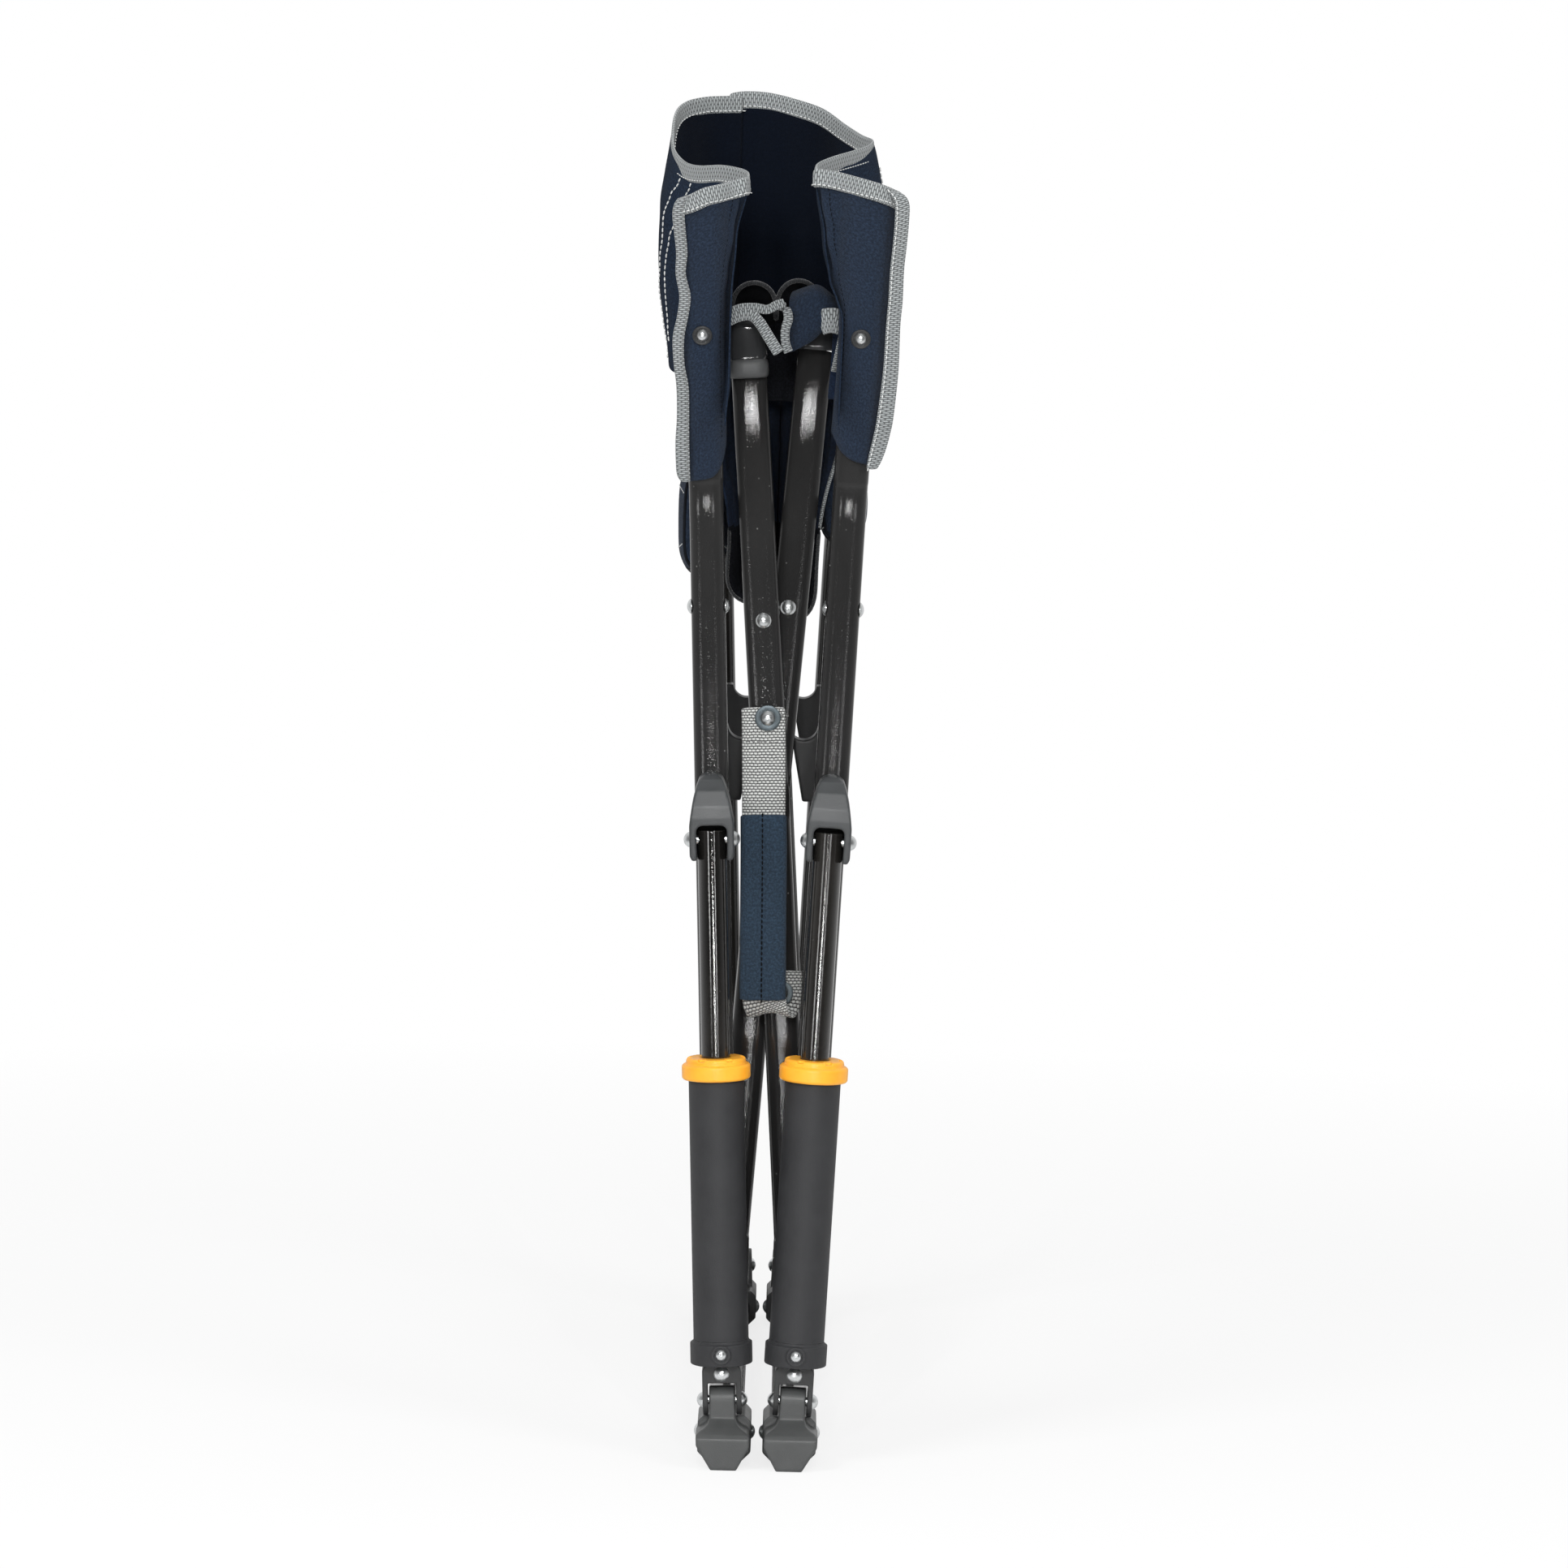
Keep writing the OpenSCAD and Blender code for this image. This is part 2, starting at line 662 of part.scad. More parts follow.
module piston_screws(side) {
    clevis_w = knuckle_w + 2 * (clevis_gap + clevis_t);
    color("#a2a2a4") on_side(side) {
        translate([0, -piston_y, knuckle_z]) bolt_x(bolt_d, clevis_w, nut_h);
        translate([0, -piston_y - clevis_r, cap_z - clevis_web / 2]) head_back(head_d, head_h);
        translate([0, boss_sink - piston_y - cap_d / 2 - cap_boss, cap_z + cap_h / 2])
            head_back(screw_d, screw_h);
    }
}

module piston_rod(side) {
    color("#151517") on_side(side) translate([0, -piston_y, 0]) difference() {
        translate([0, 0, rod_end_z]) cylinder(d = rod_d, h = rod_top - rod_end_z);
        translate([0, 0, eye_z]) rotate([0, 90, 0])
            cylinder(d = bolt_d + 2 * eye_play, h = 2 * rod_d, center = true);
    }
}

module piston_head(side) {
    color("#c8c8ca") on_side(side) translate([0, -piston_y, rod_end_z - head_l])
        cylinder(d = barrel_d - 2 * barrel_wall - 2 * pin_gap, h = head_l);
}

module spring(side) {
    foot_z = barrel_z + boss_h + spring_wire / 2 + seat_gap;
    top_z = rod_end_z - head_l - spring_wire / 2 - seat_gap;
    coil_r = (barrel_d - 2 * barrel_wall - spring_wire) / 2 - free_gap;
    sides = 8;
    steps = 14;
    rings = spring_turns * steps;
    points = [for (i = [0 : rings], j = [0 : sides - 1])
        let (a = 360 * i / steps, b = 360 * j / sides, r = coil_r + spring_wire / 2 * cos(b))
            [r * cos(a), r * sin(a),
                foot_z + (top_z - foot_z) * i / rings + spring_wire / 2 * sin(b)]];
    walls = [for (i = [0 : rings - 1], j = [0 : sides - 1])
        let (k = (j + 1) % sides)
            [i * sides + j, i * sides + k, (i + 1) * sides + k, (i + 1) * sides + j]];
    ends = [[for (j = [sides - 1 : -1 : 0]) j], [for (j = [0 : sides - 1]) rings * sides + j]];
    color("#b0b0b2") on_side(side) translate([0, -piston_y, 0])
        polyhedron(points, concat(walls, ends));
}

// ---------------------------------------------------------------- seat frame

// Y of the rear and the front bar of one cross frame: layer 0 is a, layer 1 is b
function bar_ys(layer) = [bar_y[layer], 2 * seat_mid_y - bar_y[layer]];

module cross_bar(layer, y) {
    lean = layer * 2 - 1;
    color("#242426") on_cross(lean) translate([0, y, 0]) difference() {
        translate([0, 0, -bar_half]) {
            linear_extrude(2 * bar_half) oval_ring(bar_w, bar_t, bar_wall);
            rotate([90, 0, 0]) difference() {
                cylinder(d = bar_w, h = bar_t, center = true);
                translate([-bar_w, 0, -bar_t]) cube([2 * bar_w, bar_w, 2 * bar_t]);
            }
        }
        for (z = [-bar_half, 0]) translate([0, 0, z]) rotate([90, 0, 0])
            cylinder(d = bolt_d + 2 * pin_gap, h = 2 * bar_t, center = true);
    }
}

module rear_bar(layer) { cross_bar(layer, bar_ys(layer)[0]); }

module front_bar(layer) { cross_bar(layer, bar_ys(layer)[1]); }

module seat_rail(layer) {
    y0 = bar_ys(layer)[0] + bar_t / 2 + seat_gap;
    color("#242426") on_cross(layer * 2 - 1) translate([0, y0, bar_half])
        rotate([-90, 0, 0]) linear_extrude(2 * (seat_mid_y - y0))
            oval_ring(rail_w, rail_h, bar_wall);
}

module corner_caps(layer) {
    ys = bar_ys(layer);
    color("#3d3e40") on_cross(layer * 2 - 1) for (i = [0, 1])
        translate([0, ys[i], 0]) mirror([0, i, 0]) difference() {
            union() {
                translate([0, -bar_t / 2 - cap_skin, bar_half + cap_top / 2 - cap_low / 2])
                    in_xz() linear_extrude(bar_t + cap_skin + cap_depth)
                        rounded(cap_w, cap_top + cap_low, cap_round);
                translate([0, 0, bar_half - cap_low]) linear_extrude(lip_h)
                    rounded(cap_w + 2, bar_t + 2 * cap_skin + 1, 5);
            }
            translate([0, 0, bar_half - cap_low - free_gap])
                linear_extrude(cap_low + free_gap + seat_gap)
                    oval(bar_w + 2 * seat_gap, bar_t + 2 * seat_gap);
            translate([0, bar_t / 2, bar_half]) rotate([-90, 0, 0])
                linear_extrude(cap_depth + free_gap)
                    oval(rail_w + 2 * seat_gap, rail_h + 2 * seat_gap);
        }
}

module bar_rivets(layer) {
    ys = bar_ys(layer);
    color("#8c8c8e") on_cross(layer * 2 - 1) {
        translate([0, ys[0] - bar_t / 2, rivet_z[layer]]) head_back(head_d, head_h);
        if (layer == 0) {
            for (z = strap_rivets) translate([0, strap_face, z]) {
                rotate([-90, 0, 0]) translate([0, 0, -web_t - 1]) {
                    cylinder(d = bolt_d, h = web_t + 1 + strap_lift);
                    cylinder(d = washer_d, h = 1);
                }
                translate([0, -web_t - 1, 0]) head_back(head_d, head_h);
            }
            translate([0, ys[0] - bar_t / 2 - soft_gap, 0]) bolt_y(bolt_d,
                2 * bar_t + layer_gap + 2 * soft_gap);
            translate([0, ys[1] - 1.5 * bar_t - layer_gap - soft_gap, 0]) bolt_y(bolt_d,
                2 * bar_t + layer_gap + 2 * soft_gap);
        }
    }
}

module seat_sling(layer) {
    color("#18243a") on_cross(layer * 2 - 1) translate([0, sling_y, bar_half])
        rotate([-90, 0, 0]) linear_extrude(2 * (seat_mid_y - sling_y)) difference() {
            union() {
                oval(rail_w + 2 * soft_gap + 1.8, rail_h + 2 * soft_gap + 1.8);
                translate([-cloth_t / 2, 0]) square([cloth_t, sling_h]);
            }
            oval(rail_w + 2 * soft_gap, rail_h + 2 * soft_gap);
        }
}

module carry_strap() {
    color("#a3a39e") on_cross(-1) difference() {
        translate([-strap_w / 2, strap_face - web_t, strap_low])
            cube([strap_w, web_t, strap_top - strap_low]);
        for (z = strap_rivets) translate([0, strap_face, z]) rotate([90, 0, 0])
            cylinder(d = bolt_d + 2 * pin_gap, h = 4 * web_t, center = true);
    }
}

module strap_wrap() {
    wrap_t = 7;
    color("#1d2a40") on_cross(-1) translate([0, strap_face - web_t / 2, wrap_low])
        linear_extrude(wrap_top - wrap_low) difference() {
            rounded(strap_w + 3, wrap_t, 2.5);
            square([strap_w + 2 * soft_gap, web_t + 2 * soft_gap], center = true);
        }
}

// ---------------------------------------------------------------- back fabric

// One half of the folded back: a zigzag wall seen from above
module back_panel(side) {
    gap = 2;
    top_y = -bend_back - upper_l * sin(recline);
    sleeve_x = foot_x + sleeve_mid * tan(splay) - sleeve_w / 2 - cloth_t;
    path = [[sleeve_x, top_y + 6], [fold_in, top_y + fold_y[0]], [panel_x, top_y + fold_y[1]],
        [fold_front, top_y + fold_y[2]], [gap, top_y + fold_y[3]]];
    color("#22304a") translate([0, post_y, panel_z]) mirror([side < 0 ? 1 : 0, 0, 0])
        linear_extrude(panel_h) for (i = [0 : len(path) - 2])
            cloth_wall(path[i], path[i + 1]);
}

// Straight stretch of cloth between two points, with a slightly thicker round fold at each
module cloth_wall(a, b) {
    d = b - a;
    translate(a) rotate(atan2(d[1], d[0])) {
        translate([0, -cloth_t / 2]) square([norm(d), cloth_t]);
        for (x = [0, norm(d)]) translate([x, 0]) circle(d = cloth_t + 0.6);
    }
}

base_rail(-1);  // base_rail_left
rear_foot(-1);  // rear_foot_left
front_foot(-1);  // front_foot_left
foot_screws(-1);  // foot_screws_left
base_rail(1);  // base_rail_right
rear_foot(1);  // rear_foot_right
front_foot(1);  // front_foot_right
foot_screws(1);  // foot_screws_right
back_post(-1);  // back_post_left
arm_tube(-1);  // arm_tube_left
side_rail(-1);  // side_rail_left
seat_bar(-1);  // seat_bar_left
cross_lugs(-1);  // cross_lugs_left
seat_saddles(-1);  // seat_saddles_left
arm_pad(-1);  // arm_pad_left
piston_bracket(-1);  // piston_bracket_left
back_sleeve(-1);  // back_sleeve_left
side_bolts(-1);  // side_bolts_left
back_post(1);  // back_post_right
arm_tube(1);  // arm_tube_right
side_rail(1);  // side_rail_right
seat_bar(1);  // seat_bar_right
cross_lugs(1);  // cross_lugs_right
seat_saddles(1);  // seat_saddles_right
arm_pad(1);  // arm_pad_right
piston_bracket(1);  // piston_bracket_right
back_sleeve(1);  // back_sleeve_right
side_bolts(1);  // side_bolts_right
clevis(-1);  // clevis_left
bottom_cap(-1);  // bottom_cap_left
cylinder_body(-1);  // cylinder_left
collar(-1);  // collar_left
piston_screws(-1);  // piston_screws_left
clevis(1);  // clevis_right
bottom_cap(1);  // bottom_cap_right
cylinder_body(1);  // cylinder_right
collar(1);  // collar_right
piston_screws(1);  // piston_screws_right
piston_rod(-1);  // piston_rod_left
piston_head(-1);  // piston_head_left
spring(-1);  // spring_left
piston_rod(1);  // piston_rod_right
piston_head(1);  // piston_head_right
spring(1);  // spring_right
rear_bar(0);  // rear_bar_a
front_bar(0);  // front_bar_a
seat_rail(0);  // seat_rail_a
corner_caps(0);  // corner_caps_a
bar_rivets(0);  // bar_rivets_a
seat_sling(0);  // seat_sling_a
carry_strap();
strap_wrap();
rear_bar(1);  // rear_bar_b
front_bar(1);  // front_bar_b
seat_rail(1);  // seat_rail_b
corner_caps(1);  // corner_caps_b
bar_rivets(1);  // bar_rivets_b
seat_sling(1);  // seat_sling_b
back_panel(-1);  // back_panel_left
back_panel(1);  // back_panel_right
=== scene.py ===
"""Looks of the folding rocking camp chair: materials, cloth, webbing, stitches, camera and light."""

import json
import math

import bmesh
import bpy
from mathutils import Matrix, Vector, noise
from mathutils.bvhtree import BVHTree


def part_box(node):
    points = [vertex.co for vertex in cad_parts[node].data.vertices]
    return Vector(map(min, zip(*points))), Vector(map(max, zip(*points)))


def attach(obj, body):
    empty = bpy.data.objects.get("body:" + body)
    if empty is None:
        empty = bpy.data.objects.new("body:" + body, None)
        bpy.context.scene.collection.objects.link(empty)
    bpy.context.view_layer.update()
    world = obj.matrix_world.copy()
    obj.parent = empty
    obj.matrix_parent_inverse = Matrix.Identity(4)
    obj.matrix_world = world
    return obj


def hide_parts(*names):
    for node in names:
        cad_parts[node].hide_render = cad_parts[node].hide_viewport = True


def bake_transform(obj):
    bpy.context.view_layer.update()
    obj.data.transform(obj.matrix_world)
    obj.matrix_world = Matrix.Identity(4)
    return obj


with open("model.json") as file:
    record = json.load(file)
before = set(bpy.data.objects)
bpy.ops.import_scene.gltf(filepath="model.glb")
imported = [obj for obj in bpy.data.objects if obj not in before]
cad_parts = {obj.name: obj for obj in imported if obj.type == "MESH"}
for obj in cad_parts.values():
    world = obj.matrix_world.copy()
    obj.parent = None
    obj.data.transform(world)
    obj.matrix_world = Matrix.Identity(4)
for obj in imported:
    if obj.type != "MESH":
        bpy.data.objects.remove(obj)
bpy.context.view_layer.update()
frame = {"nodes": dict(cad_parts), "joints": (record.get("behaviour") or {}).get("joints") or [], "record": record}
nodes = frame["nodes"]
joints = {joint["name"]: joint for joint in frame["joints"]}
SIDES = {"left": -1, "right": 1}
LAYER_SIDES = {"a": -1, "b": 1}
MM = 0.001
MERGE_WITHIN = 1e-6

# ---------------------------------------------------------------- where the chair's parts are

SPLAY = math.atan2(joints["rock"]["axis"][2], joints["rock"]["axis"][0])
POST_Y = joints["fold"]["pos_m"][1] - 0.030
FOOT_X = 0.021
RECLINE = math.radians(13)
BEND_Z = 0.605
BEND_R = 0.120


def side_point(side, out, back, up):
    """A point of a side frame: out from its plane, along +Y from the post, and up its lean."""
    x = FOOT_X + out * math.cos(SPLAY) + up * math.sin(SPLAY)
    z = up * math.cos(SPLAY) - out * math.sin(SPLAY)
    return Vector((side * x, POST_Y + back, z))


def post_line(up):
    """(distance behind the post's foot, lean angle) of the back post's axis at a height."""
    if up <= BEND_Z:
        return 0.0, 0.0
    bend_top = BEND_Z + BEND_R * math.sin(RECLINE)
    if up <= bend_top:
        angle = math.asin((up - BEND_Z) / BEND_R)
        return BEND_R * (1 - math.cos(angle)), angle
    behind = BEND_R * (1 - math.cos(RECLINE))
    return behind + (up - bend_top) * math.tan(RECLINE), RECLINE


# ---------------------------------------------------------------- node tree helpers


class Tree:
    """Short ways to add and join the nodes of one shader or geometry tree."""

    def __init__(self, tree):
        self.tree = tree

    def add(self, kind, **settings):
        node = self.tree.nodes.new(kind)
        for key, value in settings.items():
            setattr(node, key, value)
        return node

    def put(self, socket, value):
        if isinstance(value, bpy.types.NodeSocket):
            self.tree.links.new(value, socket)
        elif value is not None:
            socket.default_value = value

    def math(self, operation, first, second=None, third=None):
        node = self.add("ShaderNodeMath", operation=operation)
        for index, value in enumerate((first, second, third)):
            self.put(node.inputs[index], value)
        return node.outputs[0]

    def blend(self, amount, low, high):
        """Mix of two colours."""
        node = self.add("ShaderNodeMix", data_type="RGBA")
        self.put(node.inputs["Factor"], amount)
        self.put(node.inputs[6], low)
        self.put(node.inputs[7], high)
        return node.outputs[2]

    def remap(self, value, low, high, new_low, new_high):
        node = self.add("ShaderNodeMapRange")
        for index, item in enumerate((value, low, high, new_low, new_high)):
            self.put(node.inputs[index], item)
        return node.outputs[0]

    def noise(self, place, scale, detail=3.0, roughness=0.55):
        node = self.add("ShaderNodeTexNoise")
        self.put(node.inputs["Vector"], place)
        self.put(node.inputs["Scale"], scale)
        self.put(node.inputs["Detail"], detail)
        self.put(node.inputs["Roughness"], roughness)
        return node.outputs["Fac"]


def shader_group(name, inputs, outputs):
    """An empty shader node group with named float, colour or vector sockets."""
    kinds = {"f": "NodeSocketFloat", "c": "NodeSocketColor", "v": "NodeSocketVector"}
    group = bpy.data.node_groups.new(name, "ShaderNodeTree")
    for label, kind, value in inputs:
        socket = group.interface.new_socket(
            name=label, in_out="INPUT", socket_type=kinds[kind]
        )
        if value is not None:
            socket.default_value = value
    for label, kind in outputs:
        group.interface.new_socket(
            name=label, in_out="OUTPUT", socket_type=kinds[kind]
        )
    tree = Tree(group)
    return tree, tree.add("NodeGroupInput").outputs, tree.add("NodeGroupOutput").inputs


# ---------------------------------------------------------------- surface effects


def make_coat_grain():
    """Orange peel of powder coat and paint, with smudges and fine dust."""
    tree, given, result = shader_group(
        "coat_grain",
        [
            ("Place", "v", None),
            ("Peel Scale", "f", 900.0),
            ("Smudge Scale", "f", 28.0),
            ("Dust Amount", "f", 0.3),
        ],
        [("Height", "f"), ("Smudge", "f"), ("Dust", "f")],
    )
    peel = tree.noise(given["Place"], given["Peel Scale"], 2.0, 0.5)
    tree.put(result["Height"], peel)
    stretched = tree.add("ShaderNodeMapping")
    stretched.inputs["Scale"].default_value = (1.0, 1.0, 0.35)
    tree.put(stretched.inputs["Vector"], given["Place"])
    smudge = tree.noise(stretched.outputs[0], given["Smudge Scale"], 5.0, 0.62)
    tree.put(result["Smudge"], tree.remap(smudge, 0.38, 0.68, 0.0, 1.0))
    specks = tree.add("ShaderNodeTexVoronoi", feature="F1")
    tree.put(specks.inputs["Vector"], given["Place"])
    specks.inputs["Scale"].default_value = 170.0
    near = tree.remap(specks.outputs["Distance"], 0.05, 0.13, 1.0, 0.0)
    patch = tree.remap(tree.noise(given["Place"], 40.0, 2.0), 0.56, 0.7, 0.0, 1.0)
    tree.put(
        result["Dust"],
        tree.math("MULTIPLY", tree.math("MULTIPLY", near, patch), given["Dust Amount"]),
    )
    return tree.tree


def make_edge_rub():
    """Mask of the outer edges, broken up as handling wears them."""
    tree, given, result = shader_group(
        "edge_rub",
        [("Place", "v", None), ("Reach", "f", 0.0012), ("Amount", "f", 0.5)],
        [("Mask", "f")],
    )
    rounded = tree.add("ShaderNodeBevel", samples=4)
    tree.put(rounded.inputs["Radius"], given["Reach"])
    geometry = tree.add("ShaderNodeNewGeometry")
    turn = tree.add("ShaderNodeVectorMath", operation="DOT_PRODUCT")
    tree.put(turn.inputs[0], rounded.outputs["Normal"])
    tree.put(turn.inputs[1], geometry.outputs["Normal"])
    edge = tree.remap(turn.outputs["Value"], 0.985, 0.9, 0.0, 1.0)
    broken = tree.remap(tree.noise(given["Place"], 130.0, 6.0, 0.7), 0.42, 0.66, 0.0, 1.0)
    tree.put(
        result["Mask"],
        tree.math("MULTIPLY", tree.math("MULTIPLY", edge, broken), given["Amount"]),
    )
    return tree.tree


def make_mould_grain():
    """Fine spark-eroded grain of moulded plastic, with cloudy tone."""
    tree, given, result = shader_group(
        "mould_grain",
        [("Place", "v", None), ("Grain Scale", "f", 1400.0)],
        [("Height", "f"), ("Tone", "f")],
    )
    pits = tree.add("ShaderNodeTexVoronoi", feature="SMOOTH_F1")
    tree.put(pits.inputs["Vector"], given["Place"])
    tree.put(pits.inputs["Scale"], given["Grain Scale"])
    fine = tree.noise(given["Place"], given["Grain Scale"], 3.0, 0.6)
    tree.put(result["Height"], tree.math("MULTIPLY", pits.outputs["Distance"], fine))
    cloud = tree.noise(given["Place"], 45.0, 5.0, 0.65)
    tree.put(result["Tone"], tree.remap(cloud, 0.3, 0.72, 0.0, 1.0))
    return tree.tree


def make_plain_weave():
    """Plain weave on a UV map in metres: thread height, thread tone and soft mottling."""
    tree, given, result = shader_group(
        "plain_weave",
        [("Place", "v", None), ("Pitch", "f", 0.0007)],
        [("Height", "f"), ("Thread", "f"), ("Mottle", "f")],
    )
    parts = tree.add("ShaderNodeSeparateXYZ")
    tree.put(parts.inputs[0], given["Place"])
    across = tree.math("DIVIDE", parts.outputs[0], given["Pitch"])
    along = tree.math("DIVIDE", parts.outputs[1], given["Pitch"])
    warp = tree.math("ABSOLUTE", tree.math("SINE", tree.math("MULTIPLY", across, math.pi)))
    weft = tree.math("ABSOLUTE", tree.math("SINE", tree.math("MULTIPLY", along, math.pi)))
    cell = tree.math(
        "ADD", tree.math("FLOOR", across), tree.math("FLOOR", along)
    )
    over = tree.math("FLOORED_MODULO", cell, 2.0)
    under = tree.math("SUBTRACT", 1.0, over)
    height = tree.math(
        "ADD", tree.math("MULTIPLY", warp, over), tree.math("MULTIPLY", weft, under)
    )
    slub = tree.noise(given["Place"], 2400.0, 2.0, 0.6)
    tree.put(result["Height"], tree.math("MULTIPLY_ADD", slub, 0.5, height))
    tree.put(result["Thread"], tree.math("MULTIPLY", height, slub))
    mottle = tree.noise(given["Place"], 640.0, 6.0, 0.78)
    tree.put(result["Mottle"], tree.remap(mottle, 0.44, 0.62, 0.0, 1.0))
    return tree.tree


def make_rib_weave():
    """Ribbed narrow fabric: rows across the tape, with each thread a bead set off by half a step."""
    tree, given, result = shader_group(
        "rib_weave",
        [
            ("Place", "v", None),
            ("Row Pitch", "f", 0.0016),
            ("Bead Pitch", "f", 0.0022),
            ("Slant", "f", 0.5),
        ],
        [("Height", "f"), ("Bead", "f"), ("Fuzz", "f")],
    )
    parts = tree.add("ShaderNodeSeparateXYZ")
    tree.put(parts.inputs[0], given["Place"])
    wander = tree.math("MULTIPLY", tree.noise(given["Place"], 160.0, 2.0), 0.0009)
    row = tree.math(
        "DIVIDE", tree.math("ADD", parts.outputs[1], wander), given["Row Pitch"]
    )
    shift = tree.math(
        "MULTIPLY", tree.math("FLOORED_MODULO", tree.math("FLOOR", row), 2.0), given["Slant"]
    )
    step = tree.math(
        "ADD", tree.math("DIVIDE", parts.outputs[0], given["Bead Pitch"]), shift
    )
    ridge = tree.math("ABSOLUTE", tree.math("SINE", tree.math("MULTIPLY", row, math.pi)))
    bead = tree.math("ABSOLUTE", tree.math("SINE", tree.math("MULTIPLY", step, math.pi)))
    both = tree.math("MULTIPLY", ridge, tree.math("POWER", bead, 0.55))
    fuzz = tree.noise(given["Place"], 1500.0, 4.0, 0.7)
    tree.put(result["Height"], tree.math("MULTIPLY_ADD", fuzz, 0.25, both))
    tree.put(result["Bead"], both)
    tree.put(result["Fuzz"], fuzz)
    return tree.tree


GROUPS = {
    "coat": make_coat_grain(),
    "rub": make_edge_rub(),
    "mould": make_mould_grain(),
    "weave": make_plain_weave(),
    "rib": make_rib_weave(),
}


# ---------------------------------------------------------------- materials


def start_material(name, colour, roughness, **settings):
    """A Principled material, and short ways to add to it."""
    material = bpy.data.materials.new(name)
    material.use_nodes = True
    tree = Tree(material.node_tree)
    shader = material.node_tree.nodes["Principled BSDF"]
    shader.inputs["Base Color"].default_value = (*colour, 1.0)
    shader.inputs["Roughness"].default_value = roughness
    for label, value in settings.items():
        shader.inputs[label.replace("_", " ")].default_value = value
    return material, tree, shader


def object_place(tree):
    return tree.add("ShaderNodeTexCoord").outputs["Object"]


def cloth_place(tree):
    return tree.add("ShaderNodeUVMap", uv_map="cloth").outputs["UV"]


def use_group(tree, key, **inputs):
    node = tree.add("ShaderNodeGroup")
    node.node_tree = GROUPS[key]
    for label, value in inputs.items():
        tree.put(node.inputs[label.replace("_", " ")], value)
    return node.outputs


def use_bump(tree, shader, height, distance, strength=1.0):
    bump = tree.add("ShaderNodeBump")
    bump.inputs["Distance"].default_value = distance
    bump.inputs["Strength"].default_value = strength
    tree.put(bump.inputs["Height"], height)
    tree.put(shader.inputs["Normal"], bump.outputs["Normal"])


def coated_metal(name, dark, light, rough, smudge_rough, peel, dust, **settings):
    """Powder coat or paint on steel tube."""
    material, tree, shader = start_material(name, dark, rough, **settings)
    place = object_place(tree)
    coat = use_group(tree, "coat", Place=place, Peel_Scale=peel, Dust_Amount=dust)
    rub = use_group(tree, "rub", Place=place, Amount=0.35)
    tone = tree.blend(coat["Smudge"], (*dark, 1.0), (*light, 1.0))
    tone = tree.blend(rub["Mask"], tone, (0.09, 0.088, 0.085, 1.0))
    tone = tree.blend(coat["Dust"], tone, (0.42, 0.42, 0.41, 1.0))
    tree.put(shader.inputs["Base Color"], tone)
    gloss = tree.remap(coat["Smudge"], 0.0, 1.0, rough, smudge_rough)
    tree.put(shader.inputs["Roughness"], tree.math("MULTIPLY_ADD", coat["Dust"], 0.4, gloss))
    use_bump(tree, shader, coat["Height"], 0.00012, 0.6)
    return material


def moulded_plastic(name, dark, light, rough, grain, depth, rub_tone, **settings):
    """Injection-moulded plastic with a fine grain and slightly rubbed edges."""
    material, tree, shader = start_material(name, dark, rough, **settings)
    place = object_place(tree)
    mould = use_group(tree, "mould", Place=place, Grain_Scale=grain)
    rub = use_group(tree, "rub", Place=place, Amount=0.45)
    tone = tree.blend(mould["Tone"], (*dark, 1.0), (*light, 1.0))
    tree.put(shader.inputs["Base Color"], tree.blend(rub["Mask"], tone, (*rub_tone, 1.0)))
    tree.put(
        shader.inputs["Roughness"],
        tree.remap(mould["Tone"], 0.0, 1.0, rough - 0.06, rough + 0.06),
    )
    use_bump(tree, shader, mould["Height"], depth, 0.7)
    return material


def bright_steel(name, base, rough):
    """Nickel-plated fastener with faint turning marks and handling haze."""
    material, tree, shader = start_material(name, base, rough, Metallic=1.0)
    place = object_place(tree)
    haze = tree.noise(place, 260.0, 5.0, 0.7)
    tone = tree.blend(
        tree.remap(haze, 0.35, 0.7, 0.0, 1.0),
        (*base, 1.0),
        (base[0] * 0.82, base[1] * 0.82, base[2] * 0.8, 1.0),
    )
    tree.put(shader.inputs["Base Color"], tone)
    tree.put(shader.inputs["Roughness"], tree.remap(haze, 0.3, 0.75, rough - 0.04, rough + 0.06))
    use_bump(tree, shader, tree.noise(place, 500.0, 2.0), 0.00002, 0.15)
    return material


def woven_cloth(name, shade, thread, rough, pitch=0.0007, lining=None, **settings):
    """Plain-woven polyester cloth on the piece's own UV map; painted shade can darken it from one y to another."""
    material, tree, shader = start_material(name, shade, rough, **settings)
    weave = use_group(tree, "weave", Place=cloth_place(tree), Pitch=pitch)
    tone = tree.blend(weave["Thread"], (*shade, 1.0), (*thread, 1.0))
    worn = tuple(min(1.0, 1.8 * part + 0.003) for part in thread)
    flecks = tree.math("MULTIPLY", weave["Mottle"], 0.7)
    tone = tree.blend(flecks, tone, (*worn, 1.0))
    if lining:
        # painted shade: the lining tuple blends near-black navy in along y, for the shade deep inside the folded
        # back
        parts = tree.add("ShaderNodeSeparateXYZ")
        tree.put(parts.inputs[0], object_place(tree))
        painted_shade_share = tree.remap(parts.outputs[1], lining[0], lining[1], 0.0, lining[2])
        tone = tree.blend(painted_shade_share, tone, (0.0012, 0.0022, 0.0055, 1.0))
    tree.put(shader.inputs["Base Color"], tone)
    tree.put(
        shader.inputs["Roughness"],
        tree.remap(weave["Mottle"], 0.0, 1.0, rough, min(1.0, rough + 0.1)),
    )
    height = tree.math("MULTIPLY_ADD", weave["Mottle"], 0.8, weave["Height"])
    use_bump(tree, shader, height, 0.00022, 0.8)
    return material


